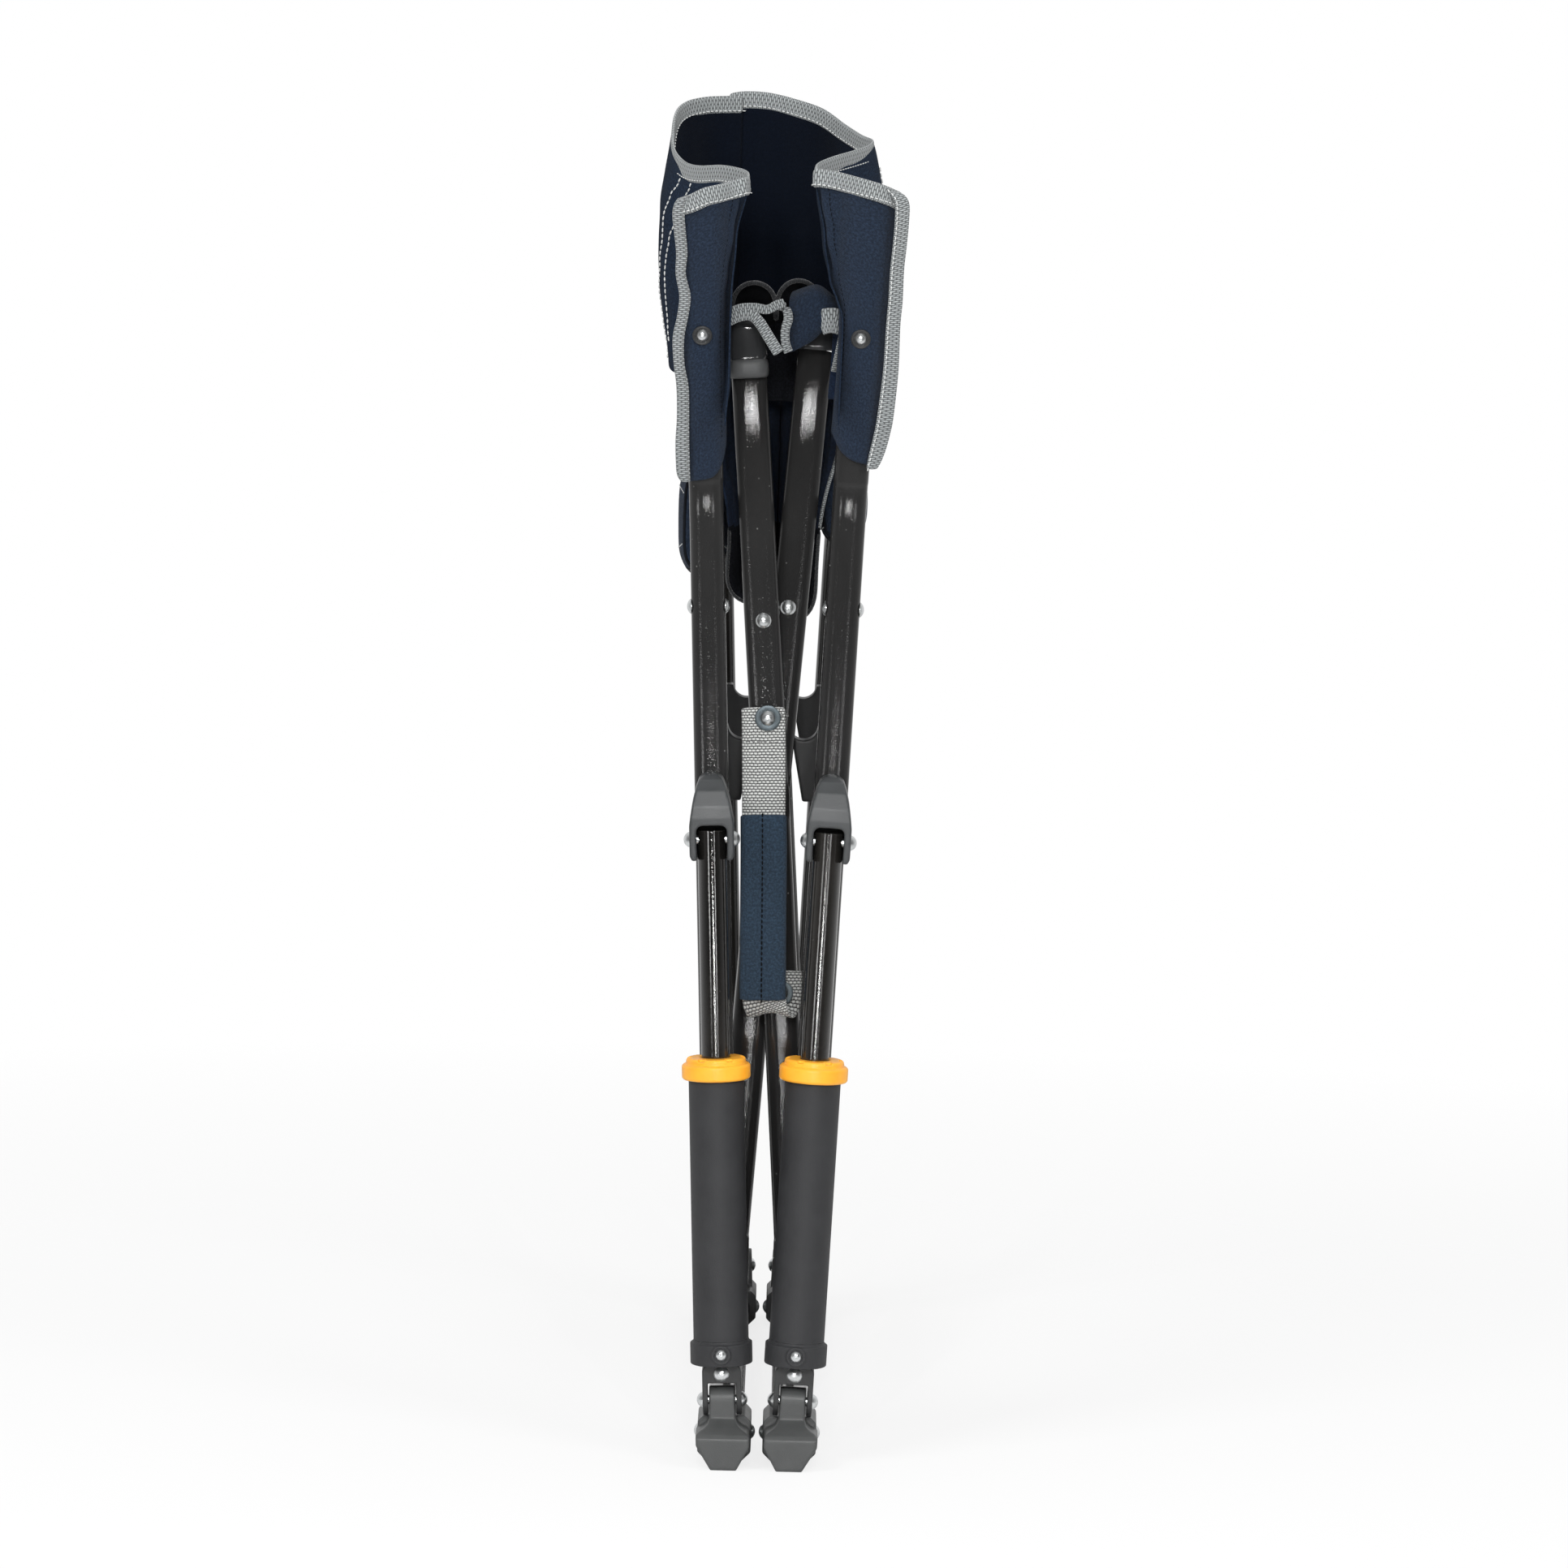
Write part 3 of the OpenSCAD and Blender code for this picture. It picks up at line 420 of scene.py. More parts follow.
def ribbed_tape(name, gap, thread, rough, row, bead, depth):
    """Webbing or binding tape on the piece's own UV map."""
    material, tree, shader = start_material(name, thread, rough, Sheen_Weight=0.25)
    shader.inputs["Sheen Roughness"].default_value = 0.5
    rib = use_group(
        tree, "rib", Place=cloth_place(tree), Row_Pitch=row, Bead_Pitch=bead
    )
    tone = tree.blend(
        tree.remap(rib["Bead"], 0.15, 0.85, 0.0, 1.0), (*gap, 1.0), (*thread, 1.0)
    )
    soiled = tuple(0.72 * part for part in thread)
    dirt = tree.remap(rib["Fuzz"], 0.5, 0.72, 0.0, 0.55)
    tree.put(shader.inputs["Base Color"], tree.blend(dirt, tone, (*soiled, 1.0)))
    use_bump(tree, shader, rib["Height"], depth, 0.9)
    return material


def plain_thread(name, tone, rough=0.8):
    """Sewing thread."""
    material, tree, shader = start_material(name, tone, rough, Specular_IOR_Level=0.2)
    fibre = tree.noise(object_place(tree), 2600.0, 3.0, 0.6)
    low = tuple(0.6 * part for part in tone)
    tree.put(
        shader.inputs["Base Color"],
        tree.blend(tree.remap(fibre, 0.35, 0.65, 0.0, 1.0), (*low, 1.0), (*tone, 1.0)),
    )
    use_bump(tree, shader, fibre, 0.0001, 0.5)
    return material


POWDER_BLACK = coated_metal(
    "powder_black", (0.0175, 0.0173, 0.0173), (0.0220, 0.0218, 0.0218),
    0.030, 0.060, 1100.0, 0.5, Specular_IOR_Level=0.4,
)
GLOSS_BLACK = coated_metal(
    "gloss_black", (0.006, 0.0057, 0.0052), (0.018, 0.0165, 0.0145),
    0.08, 0.24, 500.0, 0.3, Coat_Weight=0.4,
)
GLOSS_BLACK.node_tree.nodes["Principled BSDF"].inputs["Coat Roughness"].default_value = 0.08
DARK_PLASTIC = moulded_plastic(
    "dark_plastic", (0.034, 0.0365, 0.038), (0.046, 0.049, 0.051),
    0.4, 1300.0, 0.00009, (0.08, 0.08, 0.08), Specular_IOR_Level=0.42,
)
CAP_PLASTIC = moulded_plastic(
    "cap_plastic", (0.0195, 0.0198, 0.0202), (0.029, 0.0295, 0.030),
    0.46, 1500.0, 0.00010, (0.085, 0.085, 0.085), Specular_IOR_Level=0.4,
)
GLOSS_CAP = moulded_plastic(
    "gloss_cap", (0.0250, 0.0258, 0.0270), (0.0305, 0.0315, 0.0330),
    0.13, 700.0, 0.00003, (0.05, 0.05, 0.05), Specular_IOR_Level=0.45,
)
LIP_PLASTIC = moulded_plastic(
    "lip_plastic", (0.062, 0.064, 0.065), (0.084, 0.086, 0.087),
    0.5, 1500.0, 0.00010, (0.1, 0.1, 0.1), Specular_IOR_Level=0.4,
)
# painted light: a lighter copy of the cap plastic, raised to the tone of the rear foot's lit top
FOOT_PLASTIC_PAINTED_LIGHT = moulded_plastic(
    "foot_plastic", (0.046, 0.048, 0.048), (0.063, 0.065, 0.065),
    0.42, 1400.0, 0.00010, (0.12, 0.12, 0.12), Specular_IOR_Level=0.45,
)
SADDLE_PLASTIC = moulded_plastic(
    "saddle_plastic", (0.008, 0.008, 0.0082), (0.0125, 0.0125, 0.0128),
    0.4, 1300.0, 0.00008, (0.03, 0.03, 0.03), Specular_IOR_Level=0.3,
)
SOFT_SHELL = moulded_plastic(
    "soft_shell", (0.0235, 0.0238, 0.0255), (0.032, 0.0325, 0.0345),
    0.6, 1800.0, 0.00016, (0.075, 0.075, 0.075), Specular_IOR_Level=0.35,
)
COLLAR_ORANGE = moulded_plastic(
    "collar_orange", (0.90, 0.375, 0.022), (0.98, 0.45, 0.035),
    0.38, 900.0, 0.00005, (1.0, 0.56, 0.12), Subsurface_Weight=0.1,
)
COLLAR_ORANGE.node_tree.nodes["Principled BSDF"].inputs["Subsurface Scale"].default_value = 0.002
STEEL = bright_steel("bright_steel", (0.74, 0.76, 0.77), 0.3)
WASHER_STEEL = bright_steel("washer_steel", (0.13, 0.155, 0.17), 0.5)
SPRING_STEEL = bright_steel("spring_steel", (0.3, 0.3, 0.31), 0.32)
NAVY_CLOTH = woven_cloth(
    "navy_cloth", (0.0050, 0.0095, 0.0190), (0.0135, 0.0235, 0.0440), 0.86,
    Sheen_Weight=0.04, Specular_IOR_Level=0.25,
)
# painted shade: this cloth darkens from y -0.200 to -0.135, standing in for the shade deep in the folded back
PANEL_CLOTH = woven_cloth(
    "navy_panel_cloth", (0.0050, 0.0095, 0.0190), (0.0135, 0.0235, 0.0440), 0.86,
    lining=(-0.200, -0.135, 0.88), Sheen_Weight=0.02, Specular_IOR_Level=0.08,
)
SEAT_CLOTH = woven_cloth(
    "navy_seat_cloth", (0.0035, 0.0075, 0.0185), (0.0090, 0.0180, 0.0410), 0.88,
    Sheen_Weight=0.03, Specular_IOR_Level=0.2,
)
# painted light: a copy of the navy cloth lightened about twice, making up for the shade the strap's wrap lies in
WRAP_CLOTH_PAINTED_LIGHT = woven_cloth(
    "navy_wrap_cloth", (0.0095, 0.0200, 0.0350), (0.0265, 0.0490, 0.0790), 0.8,
    Sheen_Weight=0.05, Specular_IOR_Level=0.3,
)
DARK_MESH = woven_cloth(
    "dark_mesh", (0.0025, 0.003, 0.0045), (0.008, 0.009, 0.0125), 0.9, pitch=0.0014,
    Specular_IOR_Level=0.2,
)
WEBBING = ribbed_tape(
    "grey_webbing", (0.020, 0.020, 0.020), (0.60, 0.61, 0.595), 0.66, 0.00185, 0.0026, 0.0006
)
DARK_BINDING = ribbed_tape(
    "dark_binding", (0.006, 0.007, 0.009), (0.026, 0.028, 0.031), 0.8, 0.00135, 0.005, 0.0004
)
BINDING = ribbed_tape(
    "grey_binding", (0.052, 0.056, 0.057), (0.37, 0.395, 0.40), 0.78, 0.00135, 0.005, 0.0004
)
PIPING = plain_thread("pale_piping", (0.55, 0.55, 0.54))
WHITE_THREAD = plain_thread("white_thread", (0.80, 0.81, 0.80))
NAVY_THREAD = plain_thread("navy_thread", (0.0014, 0.0022, 0.0045))
GREY_THREAD = plain_thread("grey_thread", (0.2, 0.2, 0.2))

NODE_LOOKS = {
    "base_rail": POWDER_BLACK,
    "rear_foot": CAP_PLASTIC,
    "front_foot": CAP_PLASTIC,
    "foot_screws": STEEL,
    "back_post": POWDER_BLACK,
    "arm_tube": GLOSS_BLACK,
    "side_rail": POWDER_BLACK,
    "seat_bar": POWDER_BLACK,
    "cross_lugs": POWDER_BLACK,
    "seat_saddles": CAP_PLASTIC,
    "piston_bracket": DARK_PLASTIC,
    "side_bolts": STEEL,
    "clevis": POWDER_BLACK,
    "bottom_cap": SOFT_SHELL,
    "cylinder": SOFT_SHELL,
    "collar": COLLAR_ORANGE,
    "piston_screws": STEEL,
    "piston_rod": GLOSS_BLACK,
    "piston_head": CAP_PLASTIC,
    "spring": SPRING_STEEL,
    "rear_bar": POWDER_BLACK,
    "front_bar": POWDER_BLACK,
    "seat_rail": POWDER_BLACK,
    "corner_caps": DARK_PLASTIC,
    "bar_rivets": STEEL,
    "seat_sling": NAVY_CLOTH,
    "carry": WEBBING,
    "strap": NAVY_CLOTH,
    "arm_pad": NAVY_CLOTH,
    "back_sleeve": NAVY_CLOTH,
    "back_panel": NAVY_CLOTH,
}
for name, part in nodes.items():
    stem = name.rsplit("_", 1)[0]
    part.data.materials.clear()
    part.data.materials.append(NODE_LOOKS[stem])

# ---------------------------------------------------------------- mesh builders


def new_piece(name, mesh, material=None):
    piece = bpy.data.objects.new(name, mesh)
    bpy.context.scene.collection.objects.link(piece)
    if material is not None:
        mesh.materials.append(material)
    return piece


def plain_mesh(piece):
    """Turns a piece with live modifiers into a plain mesh."""
    view = bpy.context.evaluated_depsgraph_get()
    view.update()
    done = bpy.data.meshes.new_from_object(piece.evaluated_get(view))
    piece.modifiers.clear()
    piece.data = done
    return piece


def smooth_faces(piece):
    for face in piece.data.polygons:
        face.use_smooth = True
    return piece


def subdivide(piece, levels=1):
    """Subdivides a piece and leaves it a plain, smooth-shaded mesh."""
    smooth = piece.modifiers.new("smooth", "SUBSURF")
    smooth.levels = smooth.render_levels = levels
    plain_mesh(piece)
    return smooth_faces(piece)


def close_ends(mesh):
    """Fills the open ends of a tube of quads and turns its faces outwards."""
    shape = bmesh.new()
    shape.from_mesh(mesh)
    rims = [edge for edge in shape.edges if edge.is_boundary]
    bmesh.ops.holes_fill(shape, edges=rims, sides=0)
    bmesh.ops.recalc_face_normals(shape, faces=shape.faces)
    shape.to_mesh(mesh)
    shape.free()


def squared(value, power):
    """A sine or cosine pressed towards the corners of a rounded box, with its sign kept."""
    return math.copysign(abs(value) ** power, value)


def in_metres(points):
    """Points in mm as points in metres."""
    return [tuple(value * MM for value in point) for point in points]


def direction_at(line, i):
    """The way that a line runs at its point i, from the point before to the one after."""
    return line[min(i + 1, len(line) - 1)] - line[max(i - 1, 0)]


def face_outwards(piece):
    """Merges a piece's doubles and turns its faces outwards, shaded smooth."""
    mesh = bmesh.new()
    mesh.from_mesh(piece.data)
    bmesh.ops.remove_doubles(mesh, verts=mesh.verts, dist=MERGE_WITHIN)
    bmesh.ops.recalc_face_normals(mesh, faces=mesh.faces)
    for face in mesh.faces:
        face.smooth = True
    mesh.to_mesh(piece.data)
    mesh.free()
    return piece


def smooth_line(points, count, closed=False):
    """Even steps along a Catmull-Rom curve through the points."""
    points = [Vector(point) for point in points]
    last = len(points) if closed else len(points) - 1
    dense = []
    for i in range(last):
        if closed:
            a, b, c, d = (points[(i + k) % len(points)] for k in (-1, 0, 1, 2))
        else:
            b, c = points[i], points[i + 1]
            a = points[i - 1] if i else b + (b - c)
            d = points[i + 2] if i + 2 < len(points) else c + (c - b)
        for step in range(16):
            t = step / 16
            dense.append(
                0.5 * (2 * b + (c - a) * t + (2 * a - 5 * b + 4 * c - d) * t * t
                       + (3 * b - 3 * c + d - a) * t ** 3)
            )
    dense.append(points[0].copy() if closed else points[-1].copy())
    reach = [0.0]
    for p, q in zip(dense, dense[1:]):
        reach.append(reach[-1] + (q - p).length)
    steps = count if closed else count - 1
    line, k = [], 0
    for i in range(count):
        goal = reach[-1] * i / steps
        while k < len(reach) - 2 and reach[k + 1] < goal:
            k += 1
        part = (goal - reach[k]) / max(reach[k + 1] - reach[k], 1e-12)
        line.append(dense[k].lerp(dense[k + 1], part))
    return line


def fade(value, low, high):
    """0 below low, 1 above high, and smooth between."""
    t = min(1.0, max(0.0, (value - low) / (high - low)))
    return t * t * (3 - 2 * t)


def wrinkle(u, v, seed, along=9.0, across=38.0):
    """Drag lines of cloth, from -1 to 1, for a place in metres on its surface."""
    place = Vector((u * across + seed * 3.7, v * along, seed * 1.3))
    soft = noise.noise(place)
    fine = noise.noise(place * 2.7 + Vector((5.1, 0.0, 0.0)))
    return 0.75 * soft + 0.35 * fine


def grid_mesh(name, columns, cyclic=False):
    """Quads through columns of points, with a UV map in metres: x across, y down the columns."""
    mesh = bpy.data.meshes.new(name)
    count, rows = len(columns), len(columns[0])
    points = [point for column in columns for point in column]
    spans = count if cyclic else count - 1
    faces, corners = [], []
    widths = [0.0]
    for i in range(spans):
        a, b = columns[i], columns[(i + 1) % count]
        widths.append(widths[-1] + sum((q - p).length for p, q in zip(a, b)) / rows)
    heights = [0.0]
    for j in range(rows - 1):
        gap = sum((column[j + 1] - column[j]).length for column in columns) / count
        heights.append(heights[-1] + gap)
    for i in range(spans):
        k = (i + 1) % count
        for j in range(rows - 1):
            faces.append((i * rows + j, i * rows + j + 1, k * rows + j + 1, k * rows + j))
            corners += [
                (widths[i], heights[j]), (widths[i], heights[j + 1]),
                (widths[i + 1], heights[j + 1]), (widths[i + 1], heights[j]),
            ]
    mesh.from_pydata(points, [], faces)
    layer = mesh.uv_layers.new(name="cloth")
    for loop, corner in zip(layer.data, corners):
        loop.uv = corner
    return mesh


def cloth_piece(name, columns, material, thick, cyclic=False, levels=1):
    """A sheet of cloth with real thickness, subdivided smooth."""
    piece = new_piece(name, grid_mesh(name, columns, cyclic), material)
    wall = piece.modifiers.new("wall", "SOLIDIFY")
    wall.thickness = thick
    wall.offset = 0.0
    return subdivide(piece, levels)


def tape_piece(name, line, downs, faces, width, thick, material):
    """A flat tape along a line, closed at both ends. downs and faces point across it and out of it."""
    profile = []
    steps = 5
    half = thick / 2
    for i in range(steps):
        profile.append((width * i / (steps - 1), half))
    for i in range(steps):
        profile.append((width * (1 - i / (steps - 1)), -half))
    columns = []
    for across, out in profile:
        column = []
        for point, down, face in zip(line, downs, faces):
            edge = 1.0 if half < across < width - half else 0.8
            column.append(point + down * across + face * (out * edge))
        columns.append(column)
    mesh = grid_mesh(name, columns, cyclic=True)
    piece = new_piece(name, mesh, material)
    shape = bmesh.new()
    shape.from_mesh(mesh)
    layer = shape.loops.layers.uv.active
    rims = [edge for edge in shape.edges if edge.is_boundary]
    ends = bmesh.ops.holes_fill(shape, edges=rims, sides=0)["faces"]
    for face in ends:
        for loop in face.loops:
            loop[layer].uv = (loop.vert.co.x, loop.vert.co.z)
    bmesh.ops.recalc_face_normals(shape, faces=shape.faces)
    shape.to_mesh(mesh)
    shape.free()
    return subdivide(piece)


def lathe_piece(name, profile, place, axis, material, segments=40):
    """A turned shape: profile is (distance along the axis, radius) pairs in metres."""
    turn = Vector(axis).to_track_quat("Z", "Y").to_matrix()
    shape = bmesh.new()
    rings = []
    for along, radius in profile:
        ring = []
        for i in range(segments):
            angle = 2 * math.pi * i / segments
            spot = Vector((radius * math.cos(angle), radius * math.sin(angle), along))
            ring.append(shape.verts.new(Vector(place) + turn @ spot))
        rings.append(ring)
    for low, high in zip(rings, rings[1:]):
        for i in range(segments):
            k = (i + 1) % segments
            shape.faces.new((low[i], low[k], high[k], high[i]))
    shape.faces.new(rings[0])
    shape.faces.new(rings[-1])
    bmesh.ops.recalc_face_normals(shape, faces=shape.faces)
    for face in shape.faces:
        face.smooth = True
    mesh = bpy.data.meshes.new(name)
    shape.to_mesh(mesh)
    shape.free()
    mesh.set_sharp_from_angle(angle=math.radians(40))
    return new_piece(name, mesh, material)


# ---------------------------------------------------------------- stitches


def make_stitch_tree():
    """Stitches laid along an edge line at a fixed pitch."""
    group = bpy.data.node_groups.new("stitch_row", "GeometryNodeTree")
    face = group.interface
    face.new_socket(name="Geometry", in_out="INPUT", socket_type="NodeSocketGeometry")
    for label, value in (("Pitch", 0.003), ("Stitch Length", 0.0022), ("Thread Radius", 0.0003)):
        face.new_socket(name=label, in_out="INPUT", socket_type="NodeSocketFloat").default_value = value
    face.new_socket(name="Thread", in_out="INPUT", socket_type="NodeSocketMaterial")
    face.new_socket(name="Geometry", in_out="OUTPUT", socket_type="NodeSocketGeometry")
    tree = Tree(group)
    given = tree.add("NodeGroupInput").outputs
    result = tree.add("NodeGroupOutput").inputs
    curve = tree.add("GeometryNodeMeshToCurve")
    tree.put(curve.inputs["Mesh"], given["Geometry"])
    spaced = tree.add("GeometryNodeResampleCurve")
    spaced.mode = "LENGTH"
    tree.put(spaced.inputs["Curve"], curve.outputs["Curve"])
    tree.put(spaced.inputs["Length"], given["Pitch"])
    bead = tree.add("GeometryNodeMeshUVSphere")
    bead.inputs["Segments"].default_value = 6
    bead.inputs["Rings"].default_value = 5
    bead.inputs["Radius"].default_value = 1.0
    size = tree.add("ShaderNodeCombineXYZ")
    tree.put(size.inputs[0], given["Thread Radius"])
    tree.put(size.inputs[1], given["Thread Radius"])
    tree.put(size.inputs[2], tree.math("MULTIPLY", given["Stitch Length"], 0.5))
    shaped = tree.add("GeometryNodeTransform")
    tree.put(shaped.inputs["Geometry"], bead.outputs["Mesh"])
    tree.put(shaped.inputs["Scale"], size.outputs[0])
    along = tree.add("GeometryNodeInputTangent")
    turn = tree.add("FunctionNodeAlignRotationToVector", axis="Z")
    tree.put(turn.inputs["Vector"], along.outputs[0])
    laid = tree.add("GeometryNodeInstanceOnPoints")
    tree.put(laid.inputs["Points"], spaced.outputs["Curve"])
    tree.put(laid.inputs["Instance"], shaped.outputs["Geometry"])
    tree.put(laid.inputs["Rotation"], turn.outputs["Rotation"])
    real = tree.add("GeometryNodeRealizeInstances")
    tree.put(real.inputs["Geometry"], laid.outputs["Instances"])
    dyed = tree.add("GeometryNodeSetMaterial")
    tree.put(dyed.inputs["Geometry"], real.outputs["Geometry"])
    tree.put(dyed.inputs["Material"], given["Thread"])
    smooth = tree.add("GeometryNodeSetShadeSmooth")
    tree.put(smooth.inputs["Geometry"], dyed.outputs["Geometry"])
    tree.put(result["Geometry"], smooth.outputs["Geometry"])
    return group


STITCHES = make_stitch_tree()


def stitch_piece(name, lines, thread, pitch=0.0032, length=0.0024, radius=0.0004):
    """Rows of stitches along several lines of points."""
    points, edges = [], []
    for line in lines:
        start = len(points)
        points += list(line)
        edges += [(start + i, start + i + 1) for i in range(len(line) - 1)]
    mesh = bpy.data.meshes.new(name)
    mesh.from_pydata(points, edges, [])
    piece = new_piece(name, mesh)
    rows = piece.modifiers.new("rows", "NODES")
    rows.node_group = STITCHES
    values = {"Pitch": pitch, "Stitch Length": length, "Thread Radius": radius, "Thread": thread}
    for socket in STITCHES.interface.items_tree:
        if socket.in_out == "INPUT" and socket.name in values:
            rows[socket.identifier] = values[socket.name]
    return plain_mesh(piece)


# ---------------------------------------------------------------- how pieces move


def carry(piece, hold):
    """Rides on a body when hold is a body's name; for a hold of (body, body, start, end) it only bakes its place
    and does not bend.
    """
    if isinstance(hold, str):
        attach(piece, hold)
    else:
        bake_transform(piece)
    return piece


# ---------------------------------------------------------------- moulded parts and tubes

BODY_OF = {
    node: body for body, held in frame["record"]["behaviour"]["bodies"].items() for node in held
}
# node stem: size of the cells it is made of, how often its edges are eased, and its finish
EASED = {
    "rear_foot": (0.00062, 9, FOOT_PLASTIC_PAINTED_LIGHT), "front_foot": (0.0008, 5, CAP_PLASTIC),
    "piston_bracket": (0.00055, 16, DARK_PLASTIC), "clevis": (0.0005, 6, CAP_PLASTIC),
    "bottom_cap": (0.00055, 6, SOFT_SHELL), "collar": (0.0005, 4, COLLAR_ORANGE),
    "seat_saddles": (0.0009, 5, SADDLE_PLASTIC),
}


def ease_edges(node):
    """A copy of a moulded part with its corners rounded over, which stands for the CAD node."""
    cell, rounds, look = EASED[node.rsplit("_", 1)[0]]
    piece = new_piece(node + "_moulded", nodes[node].data.copy())
    piece.data.materials.clear()
    piece.data.materials.append(look)
    shape = bmesh.new()
    shape.from_mesh(piece.data)
    bmesh.ops.remove_doubles(shape, verts=shape.verts, dist=MERGE_WITHIN)
    shape.to_mesh(piece.data)
    shape.free()
    cells = piece.modifiers.new("cells", "REMESH")
    cells.mode = "VOXEL"
    cells.voxel_size = cell
    ease = piece.modifiers.new("ease", "SMOOTH")
    ease.factor = 0.5
    ease.iterations = rounds
    thin = piece.modifiers.new("thin", "DECIMATE")
    thin.ratio = 0.45
    plain_mesh(piece)
    smooth_faces(piece)
    carry(piece, BODY_OF[node])
    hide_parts(node)


def make_spring(side_name):
    """A piston's spring between the cylinder's foot and the rod's head; it keeps its length."""
    node = "spring_" + side_name
    piece = new_piece(node + "_coils", nodes[node].data.copy())
    piece.data.materials.clear()
    piece.data.materials.append(SPRING_STEEL)
    low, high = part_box(node)
    middle = (low + high) / 2
    foot, head = (middle.x, middle.y, low.z), (middle.x, middle.y, high.z)
    carry(piece, ("cylinder_" + side_name, "rod_" + side_name, foot, head))
    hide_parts(node)


def sweep_piece(name, stations, material, power=2.6, around=40):
    """A closed solid through stations of (centre, half width, half depth, across, back)."""
    columns = []
    for i in range(around):
        angle = 2 * math.pi * i / around
        wide = squared(math.cos(angle), 2 / power)
        deep = squared(math.sin(angle), 2 / power)
        columns.append([
            centre + across * (half_w * wide) + back * (half_d * deep)
            for centre, half_w, half_d, across, back in stations
        ])
    mesh = grid_mesh(name, columns, cyclic=True)
    close_ends(mesh)
    for face in mesh.polygons:
        face.use_smooth = len(face.vertices) == 4
    mesh.set_sharp_from_angle(angle=math.radians(50))
    return new_piece(name, mesh, material)


TUBE_HALF_W, TUBE_HALF_D = 0.011, 0.0075
POST_LOW, POST_TOP = 0.0970, 0.8070


def make_back_post(side_name):
    """The flat-oval post, crowned on both faces, with its bend."""
    side = SIDES[side_name]
    across = Vector((side * math.cos(SPLAY), 0, -math.sin(SPLAY)))
    upright = Vector((side * math.sin(SPLAY), 0, math.cos(SPLAY)))
    ups = [POST_LOW, POST_LOW + 0.0006, 0.2, 0.3, 0.4, 0.5, 0.56, 0.59]
    ups += [0.6 + 0.0015 * i for i in range(24)] + [0.65, 0.7, 0.75, POST_TOP - 0.0006, POST_TOP]
    stations = []
    for up in ups:
        behind, lean = post_line(up)
        inset = 0.0006 if up in (POST_LOW, POST_TOP) else 0.0
        swell = 0.0002 if lean >= RECLINE else 0.0
        back = Vector((0, math.cos(lean), 0)) + upright * math.sin(lean)
        stations.append((
            side_point(side, 0.0, -behind, up), TUBE_HALF_W + swell - inset,
            TUBE_HALF_D + swell - inset, across, back,
        ))
    post = sweep_piece("back_post_tube_" + side_name, stations, POWDER_BLACK)
    carry(post, "side_" + side_name)
    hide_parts("back_post_" + side_name)


PIVOT_Z = joints["centre_pivot"]["pos_m"][2]
BAR_FOOT = Vector((0.020, 0, joints["fold"]["pos_m"][2]))
BAR_HALF = math.hypot(BAR_FOOT.x, PIVOT_Z - BAR_FOOT.z)
BAR_HALF_W, BAR_HALF_D = 0.0115, 0.006
BAR_BACK = {"a": POST_Y + 0.017, "b": POST_Y + 0.030}
BAR_BEND, BAR_BEND_R = 0.216, 0.200
BAR_DRIFT = {"a": Vector((-0.0022, 0, 0)), "b": Vector((0.0026, 0, 0))}


def bar_frame(layer):
    """Directions along and across a cross bar; its top leans to its own rail."""
    along = Vector((LAYER_SIDES[layer] * BAR_FOOT.x, 0, PIVOT_Z - BAR_FOOT.z)).normalized()
    return along, Vector((along.z, 0, -along.x))


def bar_point(layer, reach):
    """(centre, back direction) of the rear bar at a distance above the middle pivot."""
    along, _ = bar_frame(layer)
    base = Vector((0, BAR_BACK[layer], PIVOT_Z)) + BAR_DRIFT[layer] * max(0.0, reach / BAR_HALF)
    if reach <= BAR_BEND:
        return base + along * reach, Vector((0, 1, 0))
    turn = (reach - BAR_BEND) / BAR_BEND_R
    rise = BAR_BEND + BAR_BEND_R * math.sin(turn)
    back = Vector((0, math.cos(turn), 0)) - along * math.sin(turn)
    deep = BAR_BEND_R * (1 - math.cos(turn))
    return base + along * rise + Vector((0, deep, 0)), back


def make_rear_bar(layer):
    """The rear cross bar: round at its foot and bent forward under its cap."""
    _, across = bar_frame(layer)
    stations = []
    for i in range(9):
        angle = math.radians(88 * (1 - i / 8))
        reach = -BAR_HALF - BAR_HALF_W * math.sin(angle)
        spot, back = bar_point(layer, reach)
        stations.append((spot, BAR_HALF_W * math.cos(angle), BAR_HALF_D, across, back))
    reaches = [-0.2, -0.1, 0.0, 0.1, 0.18, 0.21] + [BAR_BEND + 0.0035 * i for i in range(21)]
    for reach in reaches:
        spot, back = bar_point(layer, reach)
        stations.append((spot, BAR_HALF_W, BAR_HALF_D, across, back))
    bar = sweep_piece("rear_bar_tube_" + layer, stations, POWDER_BLACK)
    carry(bar, "cross_" + layer)
    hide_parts("rear_bar_" + layer)


# low end and top of a cap from the end of its bar, and half width at the low end and at the top
CAPS = {
    ("a", "rear"): (-0.0170, 0.0112, 0.0125, 0.0108),
    ("a", "front"): (-0.0270, 0.0100, 0.0122, 0.0122),
    ("b", "rear"): (-0.0085, 0.0130, 0.0121, 0.0121),
    ("b", "front"): (-0.0270, 0.0100, 0.0122, 0.0122),
}
CAP_HALF_D = 0.0122


